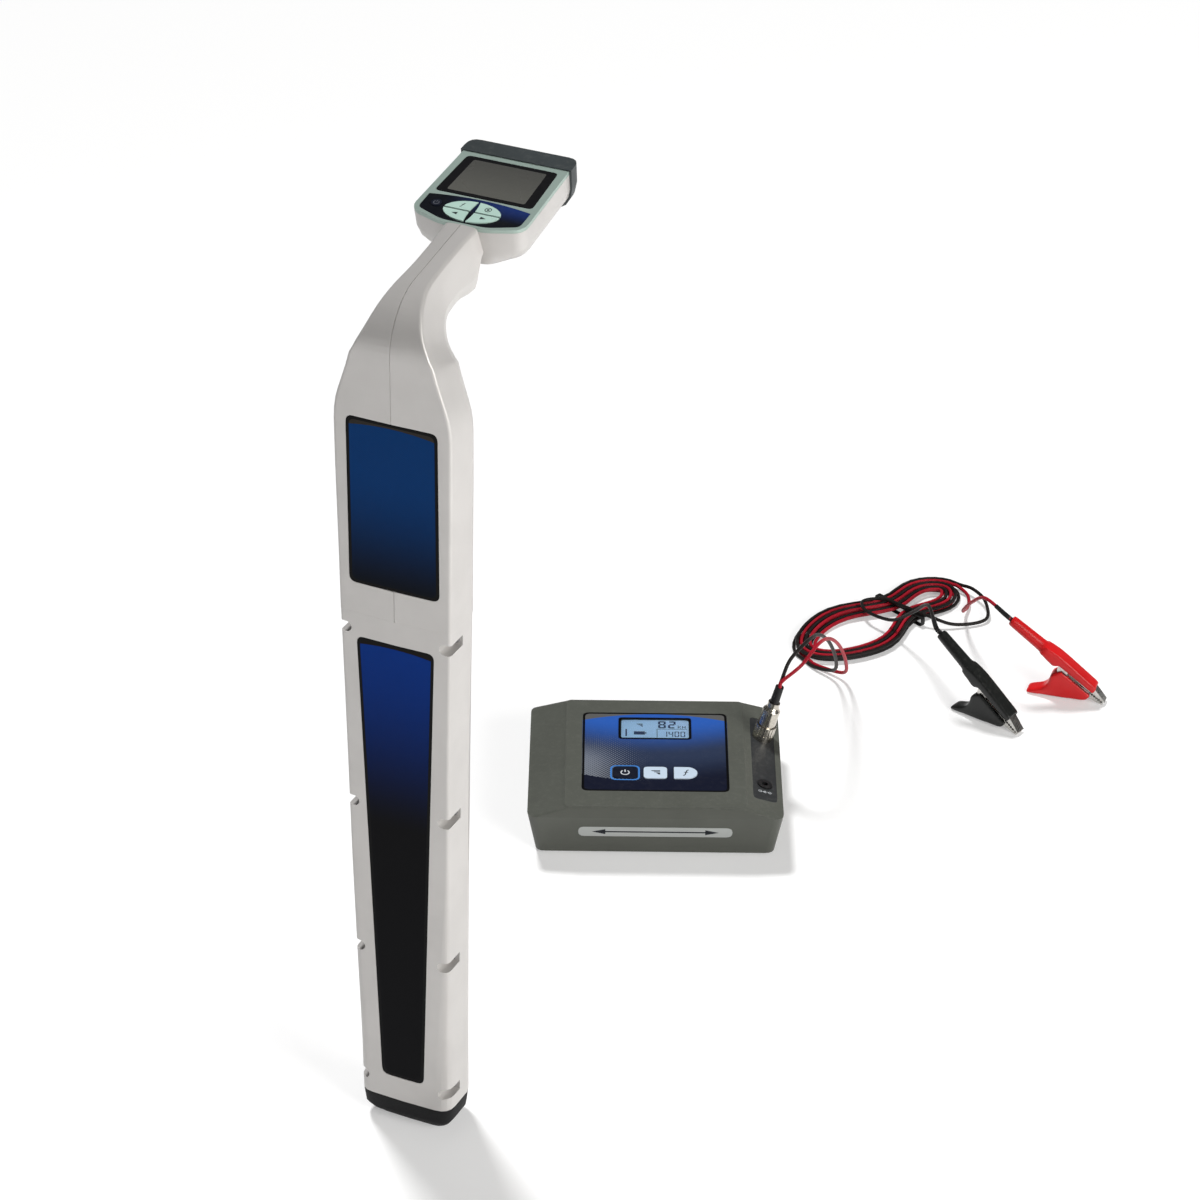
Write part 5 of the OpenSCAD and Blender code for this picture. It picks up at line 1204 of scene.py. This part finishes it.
# %% Head prints
KEY_TOP = 0.8
VIEW_AREA = ((-32, 40), (32, 40), (30.2, 82), (-30.2, 82))
VIEW_RADIUS = 2
POWER_AT = (-30.6, 20.2)
POWER_SIZE = 2.1
SIGN_X = 10.5
SIGN_Y = 23.5
SIGN_SIZE = 2.6
MODE_RING_RADIUS = 2.4
MODE_RING_WIDTH = 0.7
MODE_DOT_RADIUS = 1.1
ALMOST_ROUND = (0, 345)
ARROW_TIP_X = 14
ARROW_BASE_X = 9.5
ARROW_Y = 12.1
ARROW_HALF = 1.6

view_area = rounded(VIEW_AREA, VIEW_RADIUS)
ink_plate("receiver_screen_face", [view_area], HEAD, 0, "screen_grey", ROOT)
head_power = power_sign(*POWER_AT, POWER_SIZE)
ink_plate("power_key_sign", head_power, HEAD, KEY_TOP, "ink_grey", "key_power")
mode_sign = [
    stroke(arc(SIGN_X, SIGN_Y, MODE_RING_RADIUS, *ALMOST_ROUND), MODE_RING_WIDTH),
    arc(SIGN_X, SIGN_Y, MODE_DOT_RADIUS, *ALMOST_ROUND),
]
mint_signs = {"frequency": f_sign(-SIGN_X, SIGN_Y, SIGN_SIZE), "mode": mode_sign}
for way, side in (("left", -1), ("right", 1)):
    mint_signs[way] = [arrow_tip(side, ARROW_TIP_X, ARROW_BASE_X, ARROW_HALF, ARROW_Y)]
for key, sign in mint_signs.items():
    ink_plate(f"{key}_key_sign", sign, HEAD, KEY_TOP, "ink_dark", f"key_{key}")
print("head signs:", ["power", *mint_signs])

# %% [markdown]
# The transmitter's panel has a black rim, a rim round its screen, and a blue line round the power key.
# Rims are rings, each an outline with a hole. Its three keys have signs that ride with them. The
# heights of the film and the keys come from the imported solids.

# %% Panel rims and key signs
PANEL_Y = 2
SCREEN_Y = 41.6
KEYS_Y = -33.64
KEY_PITCH = 27
RIM_RADIUS_STEP = 1
RIMS = {
    "panel_rim": ("label_rim", 0, PANEL_Y, 130.6, 131.6, 2, 6),
    "screen_rim": ("label_rim", 0, SCREEN_Y, 65.8, 36.8, 2.2, 3),
    "power_key_halo": ("ink_blue", -KEY_PITCH, KEYS_Y, 26.4, 24.4, 1.5, 6),
}
BOX_POWER_DROP = 0.6
BOX_POWER_SIZE = 3.6
BOX_SIGNAL_SIZE = 4.2
BOX_F_SIZE = 4.6
sheet_top = box_mm("tx_panel_overlay")[1].z
box_key_top = box_mm("tx_key_power")[1].z

for name, (material, x, y, width, height, rim, radius) in RIMS.items():
    outer = slab(x, y, width, height, radius)
    inner = slab(x, y, width - 2 * rim, height - 2 * rim, radius - RIM_RADIUS_STEP)
    ink_plate(name, [outer], BOX, sheet_top, material, ROOT, holes=[inner])
box_power = power_sign(-KEY_PITCH, KEYS_Y - BOX_POWER_DROP, BOX_POWER_SIZE)
box_signal = signal_sign(0, KEYS_Y, BOX_SIGNAL_SIZE)
box_frequency = f_sign(KEY_PITCH, KEYS_Y, BOX_F_SIZE)
ink_plate("box_power_sign", box_power, BOX, box_key_top, "ink_pale", "box_key_power")
ink_plate("box_signal_sign", box_signal, BOX, box_key_top, "ink_dark", "box_key_signal")
ink_plate("box_frequency_sign", box_frequency, BOX, box_key_top, "ink_dark", "box_key_frequency")
print("rims:", list(RIMS))

# %% [markdown]
# The digits lie on the lit screen under the clear window, where a liquid crystal would show them. The
# upper number is large, with its unit beside it, and the lower one small. Bars make the dividing lines,
# a level mark and the battery, and the signal sign stands above. Places count from the screen's middle.

# %% Screen digits
LARGE_DIGIT = dict(width=7, height=12, thick=1.9)
LARGE_MARKS = (("8", 3), ("2", 12))
LARGE_Y = 2
SMALL_DIGIT = dict(width=4.2, height=9, thick=0.95)
SMALL_MARKS = "1400"
SMALL_X = 7
SMALL_PITCH = 5.4
SMALL_Y = -12.5
UNIT_WIDTH = 0.7
UNIT_BEND = ((23.6, 6), (21.6, 4), (23.8, 2))
SCREEN_BARS = (
    (2, -6.6, 0.6, 15), (15.6, 0.6, 27, 0.6), (-26, -6, 1.4, 12), (-14, -6.4, 10, 5.4), (-8.2, -6.4, 1, 2.6),
    (21.2, 4.5, UNIT_WIDTH, 5), (25.2, 4, UNIT_WIDTH, 4), (27.6, 4, UNIT_WIDTH, 4),
    (26.4, 4, 2.4, UNIT_WIDTH),
)
GAUGE_AT = (-14, 7)
GAUGE_SIZE = 3
screen_face = box_mm("tx_display_panel")[1].z

marks = []
for mark, x in LARGE_MARKS:
    marks += digit(mark, x, LARGE_Y, **LARGE_DIGIT)
for k, mark in enumerate(SMALL_MARKS):
    marks += digit(mark, SMALL_X + SMALL_PITCH * k, SMALL_Y, **SMALL_DIGIT)
marks += [slab(*bar) for bar in SCREEN_BARS]
marks += signal_sign(*GAUGE_AT, GAUGE_SIZE)
marks.append(stroke(UNIT_BEND, UNIT_WIDTH))
screen_axes = BOX @ place(0, SCREEN_Y, 0)
ink_plate("screen_digits", marks, screen_axes, screen_face, "ink_screen", ROOT)
print(len(marks), "marks on the screen")

# %% [markdown]
# A double arrow on the front wall shows how the box is laid along a cable, and the power jack has the
# usual sign for its poles: two rings with a broken ring and a dot between them. Both faces lean, so
# each has axes of its own.

# %% Arrow and jack signs
FRONT_FOOT = (0, -86, 2.5)
FRONT_LEAN = 100.0493
ARROW_RISE = 23.8664
ARROW_SHAFT = (96, 1.5)
ARROW_HEAD = (56, 44, 3)
JACK_Y = -41.85
PLATE_TOP = -0.2
POLE_Y = -12
POLE_PITCH = 4.5
POLE_RADIUS = 1.3
POLE_LINE = 0.45
POLE_RING = (0, 350)
POLE_GAP = (40, 320)
POLE_DOT_RADIUS = 0.6
LINK_X = 2.2
LINK_SIZE = (1.8, 0.4)

front_axes = BOX @ place(*FRONT_FOOT, (FRONT_LEAN, "X")) @ place(0, ARROW_RISE, 0)
arrows = [slab(0, 0, *ARROW_SHAFT), arrow_tip(-1, *ARROW_HEAD), arrow_tip(1, *ARROW_HEAD)]
ink_plate("double_arrow", arrows, front_axes, 0, "ink_dark", ROOT)

jack_axes = BOX @ place(SHOULDER_AT.x, JACK_Y, SHOULDER_AT.z, (SHOULDER_TILT, "Y"))
poles = [
    stroke(arc(0, POLE_Y, POLE_RADIUS, *POLE_GAP), POLE_LINE),
    arc(0, POLE_Y, POLE_DOT_RADIUS, *ALMOST_ROUND),
]
for side in (-1, 1):
    poles.append(stroke(arc(side * POLE_PITCH, POLE_Y, POLE_RADIUS, *POLE_RING), POLE_LINE))
    poles.append(slab(side * LINK_X, POLE_Y, *LINK_SIZE))
ink_plate("jack_sign", poles, jack_axes, PLATE_TOP, "ink_pale", ROOT)
print("arrow and jack signs drawn")
